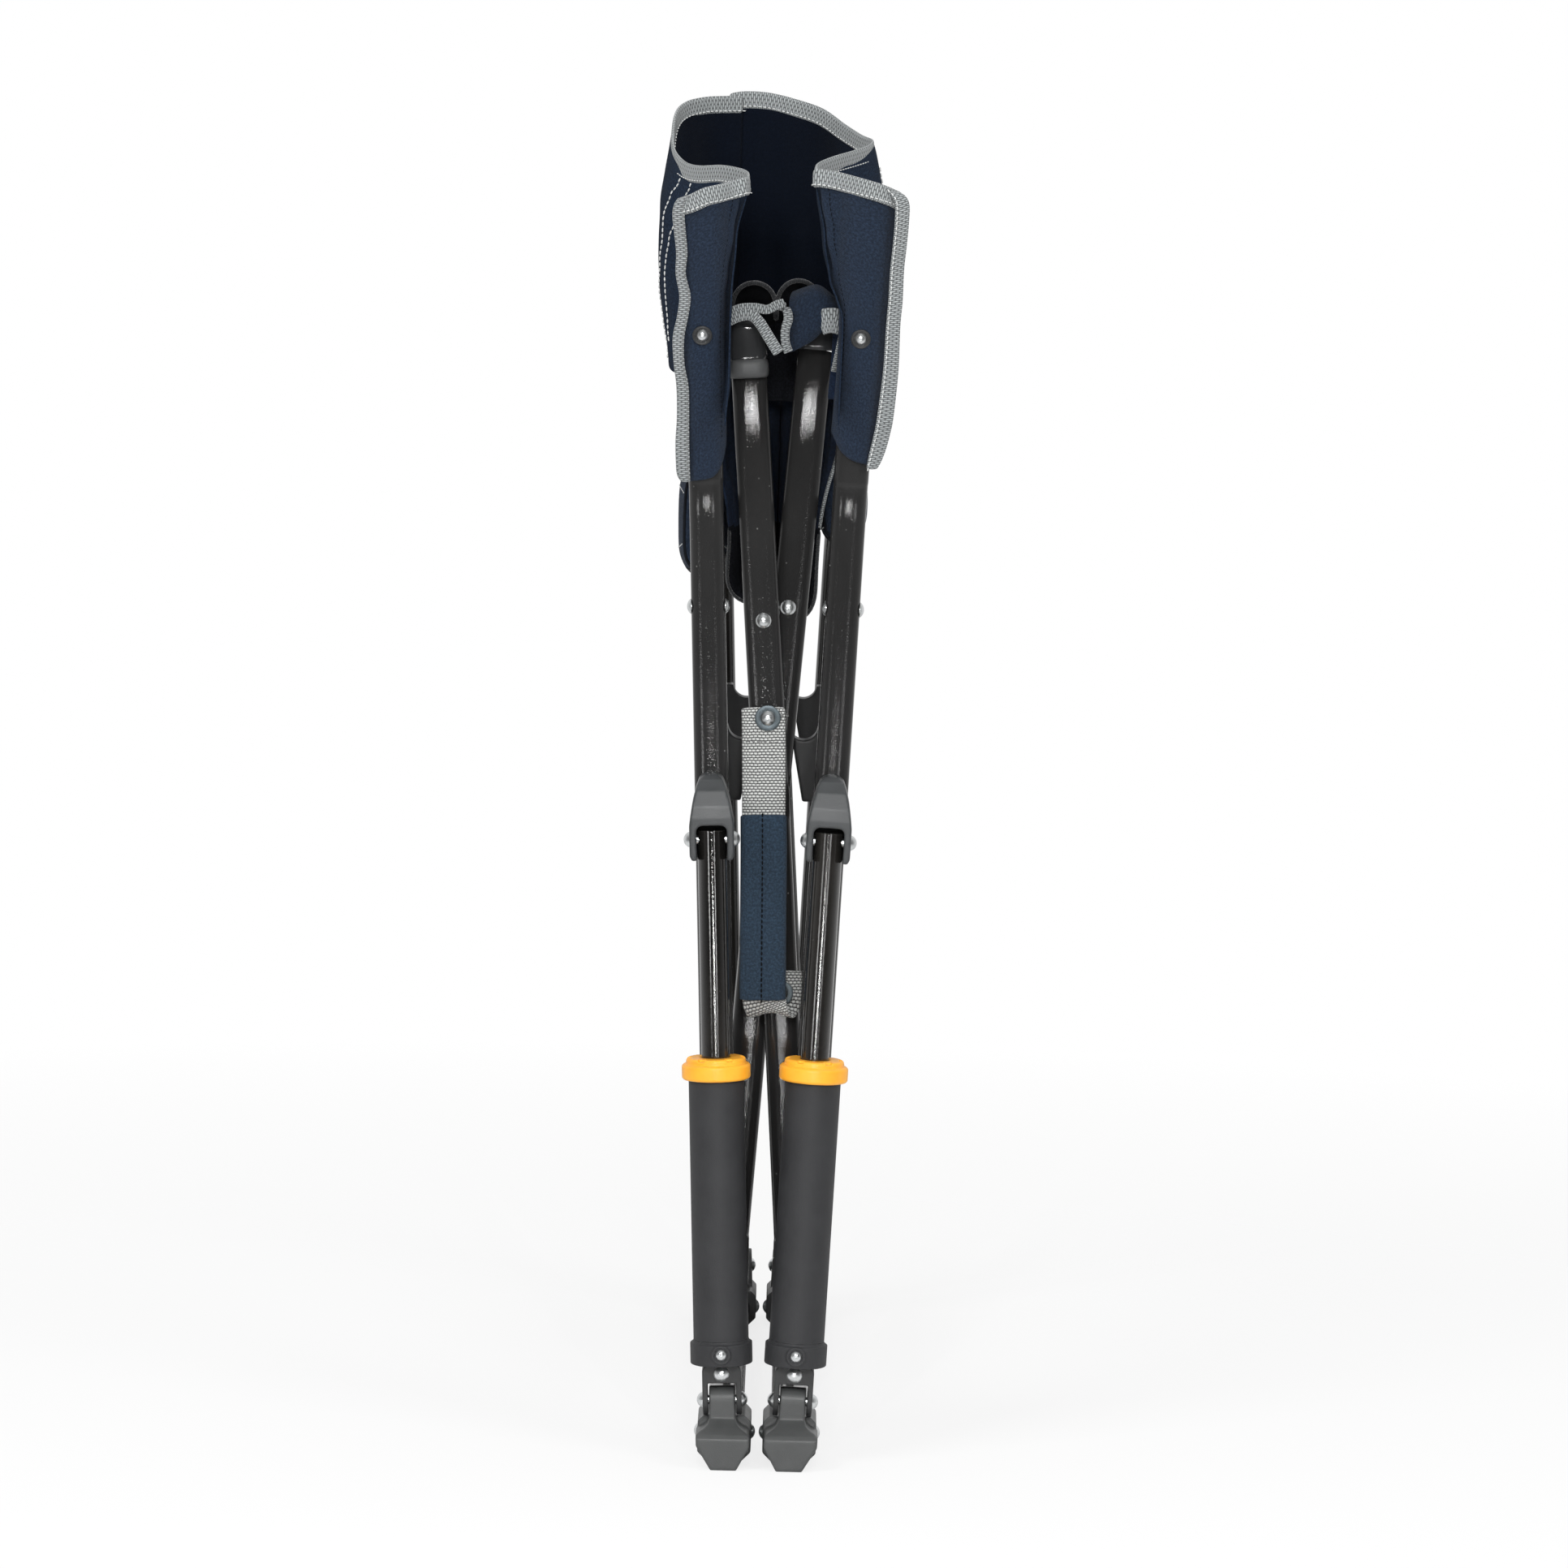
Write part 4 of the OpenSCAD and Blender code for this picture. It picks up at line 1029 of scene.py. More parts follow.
def make_corner_cap(layer, label):
    """A moulded cap over the end of a bar, round over its top."""
    low, high, wide, narrow = CAPS[layer, label]
    along, across = bar_frame(layer)
    if label == "rear":
        base = Vector((0, BAR_BACK[layer] + 0.0058, PIVOT_Z)) + BAR_DRIFT[layer]
    else:
        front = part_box("front_bar_" + layer)
        base = Vector((0, (front[0].y + front[1].y) / 2 - 0.0058, PIVOT_Z))
    stations = []
    count = 22
    round_by = 0.0085
    for i in range(count):
        share = i / (count - 1)
        reach = low + (high - low) * (1 - (1 - share) ** 1.8)
        to_top = max(0.0, (reach - (high - round_by)) / round_by)
        slim = 0.30 + 0.70 * max(0.0, 1 - to_top ** 2.4) ** 0.5
        half_w = (wide + (narrow - wide) * fade(share, 0.1, 0.9)) * slim
        rim = 0.94 if i == 0 else 1.0
        stations.append((
            base + along * (BAR_HALF + reach), half_w * rim, CAP_HALF_D * (0.45 + 0.55 * slim) * rim,
            across, Vector((0, 1, 0)),
        ))
    cap = sweep_piece(f"corner_cap_{layer}_{label}", stations, GLOSS_CAP, power=3.6)
    carry(cap, "cross_" + layer)
    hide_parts("corner_caps_" + layer)


def make_cap_lip():
    """The swollen lip round the outer bar's rear cap."""
    along, across = bar_frame("a")
    base = Vector((0, BAR_BACK["a"] + 0.0050, PIVOT_Z)) + BAR_DRIFT["a"]
    stations = []
    for i in range(15):
        share = i / 14
        puff = (1 - abs(2 * share - 1) ** 2.4) ** 0.5 if 0 < share < 1 else 0.1
        reach = BAR_HALF - 0.0275 + 0.0122 * share
        stations.append((
            base + along * reach, 0.0112 + 0.0018 * puff, 0.0112 + 0.0027 * puff, across,
            Vector((0, 1, 0)),
        ))
    lip = sweep_piece("corner_cap_lip", stations, LIP_PLASTIC, power=3.4)
    carry(lip, "cross_a")


for side_name in SIDES:
    make_spring(side_name)
    for stem in EASED:
        ease_edges(stem + "_" + side_name)
    make_back_post(side_name)
for layer in "ab":
    make_rear_bar(layer)
for layer, label in CAPS:
    make_corner_cap(layer, label)
make_cap_lip()

# ---------------------------------------------------------------- back fabric

CLOTH_T = 0.0012
TAPE_W = 0.0118
TAPE_T = 0.0024
TOP_TAPE_T = 0.0040
SEAM_IN = 0.0030
SEAM_LIFT = 0.0003
FOLD_BACK_Y = -0.268
FOLD_DEEP_Y = -0.108
SCREW_UP = {"left": 0.7275, "right": 0.7275}


def back_hold(side_name):
    """Bodies and points for the folded back: its side frame and the middle of the back, along its depth."""
    return (
        "side_" + side_name, "back_" + side_name,
        (0.0, FOLD_BACK_Y, 0.8), (0.0, FOLD_DEEP_Y, 0.8),
    )


def from_table(table, up):
    """Eased reading of (up, value...) rows that go from high to low."""
    if up >= table[0][0]:
        return table[0][1:]
    for high, low in zip(table, table[1:]):
        if up >= low[0]:
            t = (high[0] - up) / (high[0] - low[0])
            t = t * t * (3 - 2 * t)
            return tuple(a + (b - a) * t for a, b in zip(high[1:], low[1:]))
    return table[-1][1:]


# up, outer edge and inner edge of the post sleeve, in mm from the post's axis
SLEEVE_EDGES = {
    "left": [
        (826, 13.0, -29.0), (812, 13.5, -24.6), (790, 13.5, -20.6), (765, 12.5, -16.6),
        (750, 12.0, -14.6), (722, 13.6, -13.6), (700, 13.0, -13.6), (672, 12.6, -13.4),
        (645, 12.4, -13.0), (628, 12.2, -12.8),
    ],
    "right": [
        (832, 21.0, -36.0), (812, 20.5, -30.0), (790, 19.2, -25.4), (765, 18.6, -20.0),
        (742, 18.2, -14.2), (720, 17.8, -13.4), (700, 16.8, -13.4), (672, 15.2, -14.0),
        (655, 13.4, -15.2), (640, 12.6, -13.4),
    ],
}
# share of the way from the inner to the outer edge, top and bottom heights in mm
SLEEVE_ENDS = {
    "left": [
        (0.0, 823.0, 654.0), (0.06, 822.0, 645.0), (0.16, 821.0, 638.0), (0.32, 819.0, 633.6),
        (0.6, 816.5, 632.0), (0.8, 812.5, 631.6), (1.0, 810.5, 631.2),
    ],
    "right": [
        (0.0, 829.0, 664.0), (0.08, 829.0, 660.0), (0.25, 828.0, 652.0), (0.45, 825.5, 647.0),
        (0.7, 822.5, 645.4), (0.85, 820.0, 644.6), (1.0, 817.0, 644.0),
    ],
}


def ends_at(side_name, share):
    """Top and bottom heights of the sleeve at a share of its width, in metres."""
    rows = SLEEVE_ENDS[side_name]
    for low, high in zip(rows, rows[1:]):
        if share <= high[0]:
            t = (share - low[0]) / (high[0] - low[0])
            return tuple((a + (b - a) * t) * MM for a, b in zip(low[1:], high[1:]))
    return tuple(value * MM for value in rows[-1][1:])


def sleeve_point(side_name, angle, fall):
    """A point of the sleeve: angle runs round it from the inner edge over the rear face."""
    share = 0.5 - 0.5 * squared(math.cos(angle), 0.72)
    top, bottom = ends_at(side_name, share)
    up = top + (bottom - top) * fall
    outer, inner = (value * MM for value in from_table(SLEEVE_EDGES[side_name], up / MM))
    out = inner + (outer - inner) * share
    behind, _ = post_line(up)
    body = max(0.0, 1.0 - (abs(out) / 0.0175) ** 3.4)
    depth = 0.0013 + 0.0103 * body
    swing = squared(math.sin(angle), 0.62)
    seed = 2.0 if side_name == "left" else 7.0
    low_part = fade(fall, 0.35, 0.95)
    drag = wrinkle(out, up, seed, 46.0, 13.0) * (0.0009 + 0.0016 * low_part)
    drag += wrinkle(out, up, seed + 4.0, 11.0, 60.0) * 0.0012
    rise = up - SCREW_UP[side_name]
    reach = math.hypot(out, rise)
    ring = math.exp(-((reach - 0.020) / 0.0065) ** 2)
    drag += 0.0013 * ring * (0.5 + 0.5 * math.sin(5 * math.atan2(rise, out) + seed))
    crease = max(0.0, wrinkle(out + 0.55 * rise, up, seed + 9.0, 30.0, 62.0))
    drag += 0.0030 * crease * fade(fall, 0.30, 0.62)
    if swing < 0:
        drag *= 0.3
    depth_now = depth + max(-0.0008, drag * abs(swing))
    back = -behind - depth_now * swing
    return side_point(SIDES[side_name], out, back, up)


def make_sleeve(side_name):
    """The cloth sleeve that slides over a back post."""
    around, rows = 44, 46
    columns = []
    for i in range(around):
        angle = 2 * math.pi * i / around
        columns.append([
            sleeve_point(side_name, angle, j / (rows - 1)) for j in range(rows)
        ])
    sleeve = cloth_piece("back_sleeve_cloth_" + side_name, columns, NAVY_CLOTH, CLOTH_T, True)
    carry(sleeve, "side_" + side_name)
    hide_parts("back_sleeve_" + side_name)


# fold line of the back, from the sleeve's inner edge to the middle:
# out at the top, y, top z, bottom z, out at the bottom (mm)
PANEL_STATIONS = {
    "left": [
        (23.3, -273, 823.5, 666, 31.5), (25.0, -259, 828.0, 672, 33.0), (39.9, -242, 831.0, 684, 42.0),
        (55.0, -223, 830.5, 692, 55.0), (64.5, -205, 833.0, 697, 64.0), (72.0, -186, 841.0, 700, 72.0),
        (73.5, -169, 852.0, 712, 74.0), (72.0, -151, 865.5, 730, 72.5), (66.0, -135, 872.5, 740, 65.0),
        (54.0, -123, 876.0, 739, 53.0), (42.0, -116, 877.0, 738, 41.0), (29.0, -111, 877.5, 738, 30.0),
    ],
    "right": [
        (19.5, -273, 829.0, 668, 31.0), (20.5, -258, 833.5, 676, 30.0), (30.0, -240, 838.0, 688, 40.0),
        (42.0, -219, 842.0, 696, 52.0), (52.5, -200, 846.0, 701, 62.0), (55.5, -183, 850.0, 706, 66.0),
        (49.0, -165, 853.0, 722, 58.0), (38.0, -146, 860.0, 738, 44.0), (23.5, -129, 870.0, 739, 27.0),
        (5.5, -118, 876.0, 738, 10.0), (-12.5, -112, 880.0, 738, -10.0), (-29.0, -109.5, 880.5, 738, -28.0),
        (-39.0, -108.3, 878.5, 738, -38.0),
    ],
}
# how far out from the middle the near fold of the back lies, by height (mm)
FOLD_OUT = {
    "left": [(823, 23.0), (785, 30.0), (750, 32.4), (735, 32.8), (700, 32.8), (666, 34.5)],
    "right": [(829, 19.0), (785, 26.0), (760, 29.8), (748, 35.0), (738, 38.5), (668, 37.5)],
}


def make_back_panel(side_name):
    """Half of the pleated back: (piece, its top line, its columns of points)."""
    side = SIDES[side_name]
    stations = PANEL_STATIONS[side_name]
    across, rows = 64, 34
    tops = smooth_line([(side * x * MM, y * MM, top * MM) for x, y, top, _, _ in stations], across)
    lows = smooth_line(
        [(side * low_x * MM, y * MM, low * MM) for _, y, _, low, low_x in stations], across
    )
    seed = 3.0 if side_name == "left" else 8.0
    columns = []
    for i, (top, low) in enumerate(zip(tops, lows)):
        way = direction_at(tops, i)
        out = Vector((way.y, -way.x, 0)).normalized() * side
        column = []
        share = i / (across - 1)
        for j in range(rows):
            fall = j / (rows - 1)
            point = top.lerp(low, fall)
            swell = math.sin(math.pi * min(1.0, fall * 1.05)) ** 0.8
            fold = math.exp(-((point.y + 0.180) / 0.022) ** 2)
            point = point + Vector((side * 0.0075 * swell * fold, 0, 0))
            keep = from_table(FOLD_OUT[side_name], point.z / MM)[0] * MM
            push = max(0.0, keep - side * point.x) * fade(-point.y, 0.180, 0.215)
            point = point + Vector((side * push, 0, 0))
            drag = wrinkle(share * 0.25, point.z, seed, 5.0, 30.0)
            drag += 0.6 * wrinkle(share * 0.25, point.z, seed + 5, 24.0, 22.0)
            calm = fade(share, 0.0, 0.06) * fade(1 - share, 0.0, 0.04) * fade(fall, 0.02, 0.25)
            column.append(point + out * (0.0032 * drag * calm))
        columns.append(column)
    panel = cloth_piece("back_panel_cloth_" + side_name, columns, PANEL_CLOTH, CLOTH_T)
    return panel, tops, columns


def binding_along(name, line, hang, thick=TAPE_T):
    """Binding tape folded over an upper edge that runs along a line."""
    downs, faces = [], []
    for i in range(len(line)):
        along = direction_at(line, i).normalized()
        down = Vector((0, 0, -1.0))
        down = (down - along * down.dot(along)).normalized()
        faces.append(along.cross(down).normalized())
        downs.append(down)
    starts = [point - down * 0.0012 for point, down in zip(line, downs)]
    piece = tape_piece(name, starts, downs, faces, hang, thick, BINDING)
    return piece, downs, faces


def seam_lines(line, downs, faces, drop, lift):
    """The two faces' stitch lines on a tape."""
    return [
        [point + down * drop + face * (lift * way) for point, down, face in zip(line, downs, faces)]
        for way in (-1, 1)
    ]


panel_columns = {}
for side_name, side in SIDES.items():
    make_sleeve(side_name)
    panel, tops, columns = make_back_panel(side_name)
    carry(panel, back_hold(side_name))
    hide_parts("back_panel_" + side_name)
    binding, downs, faces = binding_along("back_binding_" + side_name, tops, TAPE_W)
    carry(binding, back_hold(side_name))
    rows = seam_lines(tops, downs, faces, TAPE_W - SEAM_IN, TAPE_T / 2 + SEAM_LIFT)
    seam = stitch_piece("back_binding_stitches_" + side_name, rows, WHITE_THREAD)
    carry(seam, back_hold(side_name))
    panel_columns[side_name] = columns

    # top of the sleeve's rear face, from the outer corner to the fold
    rear = [
        sleeve_point(side_name, math.pi * (1 - i / 23), 0.0) for i in range(24)
    ][1:]
    rear[-1] = tops[0].copy()
    line = smooth_line(rear[::2] + [rear[-1]], 26)
    top_tape, downs, faces = binding_along(
        "sleeve_top_binding_" + side_name, line, TAPE_W, TOP_TAPE_T
    )
    carry(top_tape, "side_" + side_name)
    rows = seam_lines(line, downs, faces, TAPE_W - SEAM_IN, TOP_TAPE_T / 2 + SEAM_LIFT)
    seam = stitch_piece("sleeve_top_stitches_" + side_name, rows, WHITE_THREAD)
    carry(seam, "side_" + side_name)

# ---------------------------------------------------------------- sleeve edges, screws and fold stitches


def piped_line(name, line, radius, material, closed=False):
    """A round cord sewn along a line."""
    curve = bpy.data.curves.new(name, "CURVE")
    curve.dimensions = "3D"
    curve.bevel_depth = radius
    curve.bevel_resolution = 3
    curve.use_fill_caps = not closed
    spline = curve.splines.new("POLY")
    spline.points.add(len(line) - 1)
    for spot, point in zip(spline.points, line):
        spot.co = (*point, 1.0)
    spline.use_cyclic_u = closed
    cord = bpy.data.objects.new(name, curve)
    bpy.context.scene.collection.objects.link(cord)
    view = bpy.context.evaluated_depsgraph_get()
    view.update()
    mesh = bpy.data.meshes.new_from_object(cord.evaluated_get(view))
    bpy.data.objects.remove(cord)
    mesh.materials.clear()
    piece = new_piece(name, mesh, material)
    return face_outwards(piece)


# up, outer rim and inner rim of the binding on the sleeve's outer edge (mm from the post's axis)
RIM_TABLE = {
    "left": [
        (812, 12.6, 6.5), (809, 15.6, 8.8), (802, 17.4, 9.5), (790, 16.6, 9.0), (777, 15.6, 8.2),
        (764, 16.2, 9.6), (750, 14.2, 6.8), (737, 16.0, 8.6), (724, 19.0, 11.4), (708, 18.8, 11.8),
        (692, 17.4, 9.4), (673, 17.6, 9.5), (658, 18.8, 9.8), (645, 18.9, 9.8), (636, 18.4, 9.8),
        (631, 15.6, 9.7),
    ],
    "right": [
        (819, 16.0, 10.5), (817.5, 21.0, 12.0), (812, 25.0, 15.6), (800, 25.6, 16.4), (785, 25.2, 16.2),
        (770, 24.6, 15.6), (750, 25.0, 15.7), (735, 24.6, 15.4), (706, 25.4, 15.4), (676, 24.2, 13.6),
        (664, 22.6, 12.2), (656, 21.0, 10.8), (648, 18.6, 9.6), (642, 15.8, 9.0),
    ],
}


def make_rim(side_name):
    """Binding folded over the outer edge of a sleeve."""
    side = SIDES[side_name]
    outer, inner = [], []
    for up, rim, root in RIM_TABLE[side_name]:
        behind, _ = post_line(up * MM)
        sway = 0.0011 * math.sin(up * 0.115 + side)
        outer.append(side_point(side, rim * MM, -behind - 0.0088 + sway, up * MM))
        inner.append(side_point(side, root * MM, -behind - 0.0118 + 0.4 * sway, up * MM))
    count = 90
    outer, inner = smooth_line(outer, count), smooth_line(inner, count)
    columns = []
    steps = 7
    for layer in (1, -1):
        for i in range(steps):
            share = i / (steps - 1) if layer > 0 else 1 - i / (steps - 1)
            column = []
            for a, b in zip(inner, outer):
                puff = TAPE_T / 2 * (1.0 if 0.1 < share < 0.9 else 0.72)
                column.append(a.lerp(b, share) + Vector((0, -layer * puff, 0)))
            columns.append(column)
    mesh = grid_mesh("sleeve_rim_binding_" + side_name, columns, cyclic=True)
    piece = new_piece(mesh.name, mesh, BINDING)
    close_ends(mesh)
    subdivide(piece)
    carry(piece, "side_" + side_name)
    seam = [
        a.lerp(b, 0.16) + Vector((0, -TAPE_T / 2 - 0.00012, 0)) for a, b in zip(inner, outer)
    ]
    stitches = stitch_piece(
        "sleeve_rim_stitches_" + side_name, [seam], GREY_THREAD if side < 0 else WHITE_THREAD
    )
    carry(stitches, "side_" + side_name)


def make_sleeve_washer(side_name):
    """Dark cup washer round the sleeve's screw."""
    side, up = SIDES[side_name], SCREW_UP[side_name]
    behind, lean = post_line(up)
    axis = Vector((0, -math.cos(lean), -math.sin(lean)))
    seat = side_point(side, 0.0, -behind, up) + axis * 0.0116
    cup = lathe_piece(
        "sleeve_washer_" + side_name,
        [(-0.0012, 0.0052), (0.0006, 0.0063), (0.0014, 0.0061), (0.0018, 0.0054),
         (0.0014, 0.0046), (0.0007, 0.0039), (0.0006, 0.0008)],
        seat, axis, CAP_PLASTIC,
    )
    carry(cup, "side_" + side_name)


# rows of white stitches on the outer fold: height in mm, and share of the way along the fold line
FOLD_STITCHES = {
    "left": [
        [(822, 0.41), (812, 0.45), (798, 0.48), (785, 0.48), (770, 0.50), (745, 0.54), (705, 0.56)],
        [(819, 0.34), (809, 0.38), (796, 0.42), (785, 0.44), (760, 0.46), (720, 0.47)],
    ],
    "right": [
        [(836, 0.50), (826, 0.52), (806, 0.53), (780, 0.54), (720, 0.55)],
        [(832, 0.43), (820, 0.44), (800, 0.45), (760, 0.46), (715, 0.46)],
    ],
}


def make_fold_stitches(side_name, columns):
    """White stitch lines down the outer fold."""
    side = SIDES[side_name]
    lines = []
    for table in FOLD_STITCHES[side_name]:
        line = []
        high, low = table[0][0], table[-1][0]
        for k in range(90):
            up = high + (low - high) * k / 89
            place = from_table(table, up)[0] * (len(columns) - 1)
            index = min(int(place), len(columns) - 2)
            spots = []
            for column in columns[index:index + 2]:
                below = [n for n, spot in enumerate(column) if spot.z < up * MM]
                after = max(1, below[0] if below else len(column) - 1)
                over, under = column[after - 1], column[after]
                t = (over.z - up * MM) / max(1e-6, over.z - under.z)
                spots.append(over.lerp(under, min(1.0, max(0.0, t))))
            along = spots[1] - spots[0]
            out = Vector((along.y, -along.x, 0)).normalized()
            if out.x * side < 0:
                out = -out
            line.append(spots[0].lerp(spots[1], place - index) + out * (CLOTH_T / 2 + 0.0004))
        lines.append(line)
    seam = stitch_piece(
        "fold_stitches_" + side_name, lines, WHITE_THREAD, pitch=0.0038, length=0.0032, radius=0.00055
    )
    carry(seam, back_hold(side_name))


def make_sleeve_seam(side_name):
    """Dark seam down the sleeve's inner edge."""
    line = []
    for j in range(44):
        fall = 0.05 + 0.85 * j / 43
        line.append(sleeve_point(side_name, math.radians(42), fall) + Vector((0, -0.0008, 0)))
    seam = stitch_piece("sleeve_seam_" + side_name, [line], NAVY_THREAD, radius=0.00034)
    carry(seam, "side_" + side_name)


for side_name in SIDES:
    make_rim(side_name)
    make_sleeve_washer(side_name)
    make_sleeve_seam(side_name)
    make_fold_stitches(side_name, panel_columns[side_name])

# ---------------------------------------------------------------- armrest pads

PAD_LOW, PAD_HIGH = 0.5755, 0.6345
PAD_REAR, PAD_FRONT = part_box("arm_pad_left")[0].y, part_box("arm_pad_left")[1].y
PAD_HALF = 0.0135
PAD_OUT = {"left": 0.0034, "right": -0.0036}
PAD_SAG = {"left": 0.0135, "right": -0.0090}
PAD_RISE = 0.012
PAD_CELL = 0.0045
PAD_PRESSURE = 4.0
PAD_STEPS = 18
PAD_SWELL = 0.0028


def make_arm_pad(side_name):
    """A padded cover round the arm tube, blown up as cloth and closed at both ends."""
    side = SIDES[side_name]
    around, stations = 28, 40
    low = PAD_LOW - PAD_SAG[side_name]
    high = PAD_HIGH + PAD_RISE
    middle, shift = (low + high) / 2, PAD_OUT[side_name]
    columns = []
    for i in range(around):
        angle = 2 * math.pi * i / around
        column = []
        for j in range(stations):
            share = j / (stations - 1)
            ends = min(share, 1 - share) * (PAD_FRONT - PAD_REAR)
            shrink = 0.86 + 0.14 * fade(ends, 0.0, 0.016)
            wide = squared(math.cos(angle), 0.62)
            tall = squared(math.sin(angle), 0.62)
            y = PAD_REAR + 0.002 + share * (PAD_FRONT - PAD_REAR - 0.004)
            point = side_point(side, shift + PAD_HALF * wide * shrink, y - POST_Y, middle)
            point.z += (high - low - 0.006) / 2 * tall * shrink
            column.append(point)
        columns.append(column)
    name = "arm_pad_cloth_" + side_name
    mesh = grid_mesh(name, columns, cyclic=True)
    close_ends(mesh)
    pad = new_piece(name, mesh)
    cells = pad.modifiers.new("cells", "REMESH")
    cells.mode = "VOXEL"
    cells.voxel_size = PAD_CELL
    plain_mesh(pad)
    start = [vertex.co.copy() for vertex in pad.data.vertices]
    cloth = pad.modifiers.new("fill", "CLOTH")
    cloth.settings.use_pressure = True
    cloth.settings.uniform_pressure_force = PAD_PRESSURE
    cloth.settings.effector_weights.gravity = 0.0
    cloth.settings.quality = 5
    scene = bpy.context.scene
    for step in range(1, PAD_STEPS + 1):
        scene.frame_set(step)
    plain_mesh(pad)
    scene.frame_set(1)
    pad_seed = 21.0 if side_name == "left" else 33.0
    for vertex, old in zip(pad.data.vertices, start):
        move = vertex.co - old
        if move.length > PAD_SWELL:
            move *= PAD_SWELL / move.length
        crease = wrinkle(old.z, old.y, pad_seed, 22.0, 16.0) * 0.0009
        move.x += crease * (1 if old.x * side > (FOOT_X + 0.0246) else -1) * side
        vertex.co = old + move
    subdivide(pad)
    wrap_cloth_map(pad, side_point(side, shift, 0.0, middle))
    pad.data.materials.clear()
    pad.data.materials.append(NAVY_CLOTH)
    # painted shade: the pad's lowest faces take the dark mesh cloth, standing in for the shaded band under the pad
    pad.data.materials.append(DARK_MESH)
    for face in pad.data.polygons:
        face.material_index = 1 if face.center.z < low + 0.0095 else 0
    carry(pad, "side_" + side_name)
    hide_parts("arm_pad_" + side_name)
    tree = BVHTree.FromPolygons(
        [vertex.co for vertex in pad.data.vertices], [face.vertices for face in pad.data.polygons]
    )
    axis = side_point(side, shift, 0.0, middle)

    def on_pad(angle, y, lift):
        way = Vector((math.cos(angle), 0, math.sin(angle)))
        far = Vector((axis.x, y, axis.z)) + way * 0.2
        hit = tree.ray_cast(far, -way)[0]
        return hit + way * lift

    turns = [2 * math.pi * i / 72 for i in range(72)]
    for label, y in (("rear", PAD_REAR + 0.006), ("front", PAD_FRONT - 0.006)):
        ring = [on_pad(angle, y, 0.0002) for angle in turns]
        look = DARK_MESH if label == "rear" else PIPING
        piping = piped_line(f"arm_pad_piping_{label}_{side_name}", ring, 0.0011, look, True)
        carry(piping, "side_" + side_name)
    lines = []
    for angle in (math.radians(52), math.radians(128), math.radians(-128), math.radians(-52)):
        lines.append([
            on_pad(angle, PAD_REAR + 0.010 + (PAD_FRONT - PAD_REAR - 0.020) * i / 120, 0.0002)
            for i in range(121)
        ])
    seam = stitch_piece("arm_pad_stitches_" + side_name, lines, WHITE_THREAD, pitch=0.0034)
    carry(seam, "side_" + side_name)


def wrap_cloth_map(piece, axis):
    """UV map in metres round an axis along Y: x is the way round and y the way along."""
    mesh = piece.data
    while mesh.uv_layers:
        mesh.uv_layers.remove(mesh.uv_layers[0])
    layer = mesh.uv_layers.new(name="cloth")
    radius = 0.022
    for face in mesh.polygons:
        first = None
        for index in face.loop_indices:
            spot = mesh.vertices[mesh.loops[index].vertex_index].co
            angle = math.atan2(spot.z - axis.z, spot.x - axis.x)
            if first is None:
                first = angle
            elif angle - first > math.pi:
                angle -= 2 * math.pi
            elif first - angle > math.pi:
                angle += 2 * math.pi
            layer.data[index].uv = (angle * radius, spot.y)


for side_name in SIDES:
    make_arm_pad(side_name)

# ---------------------------------------------------------------- seat sling

SLING_REAR, SLING_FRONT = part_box("seat_sling_a")[0].y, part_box("seat_sling_a")[1].y
RAIL_Z = (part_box("seat_rail_a")[0].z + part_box("seat_rail_a")[1].z) / 2
RAIL_X = (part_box("seat_rail_b")[0].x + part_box("seat_rail_b")[1].x) / 2
SLING_LOW = 0.549
SLING_TOP = RAIL_Z - 0.011
MOUTH_Y = -0.191
MESH_BELOW = 0.600
# rear mouth of the folded seat, from its rail to the middle: distance from the middle and height (mm)
MOUTH = {
    "a": [
        (20.0, 712.8), (34, 700), (40, 676), (41, 650), (38.5, 636), (34, 620), (31, 595),
        (32, 572), (31, 560), (23, 551.5), (10, 549.5), (0, 549),
    ],
    "b": [
        (20.0, 712.8), (34, 700), (39.5, 676), (38.5, 654), (36, 641), (31.2, 624), (27.5, 602),
        (26, 577), (25, 552), (18, 541), (9, 541), (0, 549),
    ],
}
# farther in, the two halves lie against each other
PINCH = [
    (20.0, 712.8), (15, 706), (8, 697), (2.4, 688), (0.7, 676), (0.7, 650), (0.7, 636),
    (0.7, 620), (0.7, 600), (0.7, 580), (0.7, 562), (0.0, 548.3),
]
MOUTH_SHARE = [(191, 1.0), (181, 0.86), (150, 0.45), (112, 0.0)]


def sling_hold(layer):
    """Bodies and points for half of the seat: its own rail, the other rail, its top and a point down its hang."""
    own, other = ("cross_a", "cross_b") if layer == "a" else ("cross_b", "cross_a")
    low = Vector((0, 0, SLING_TOP - 2 * (SLING_TOP - SLING_LOW)))
    return (own, other, (0, 0, SLING_TOP), low)


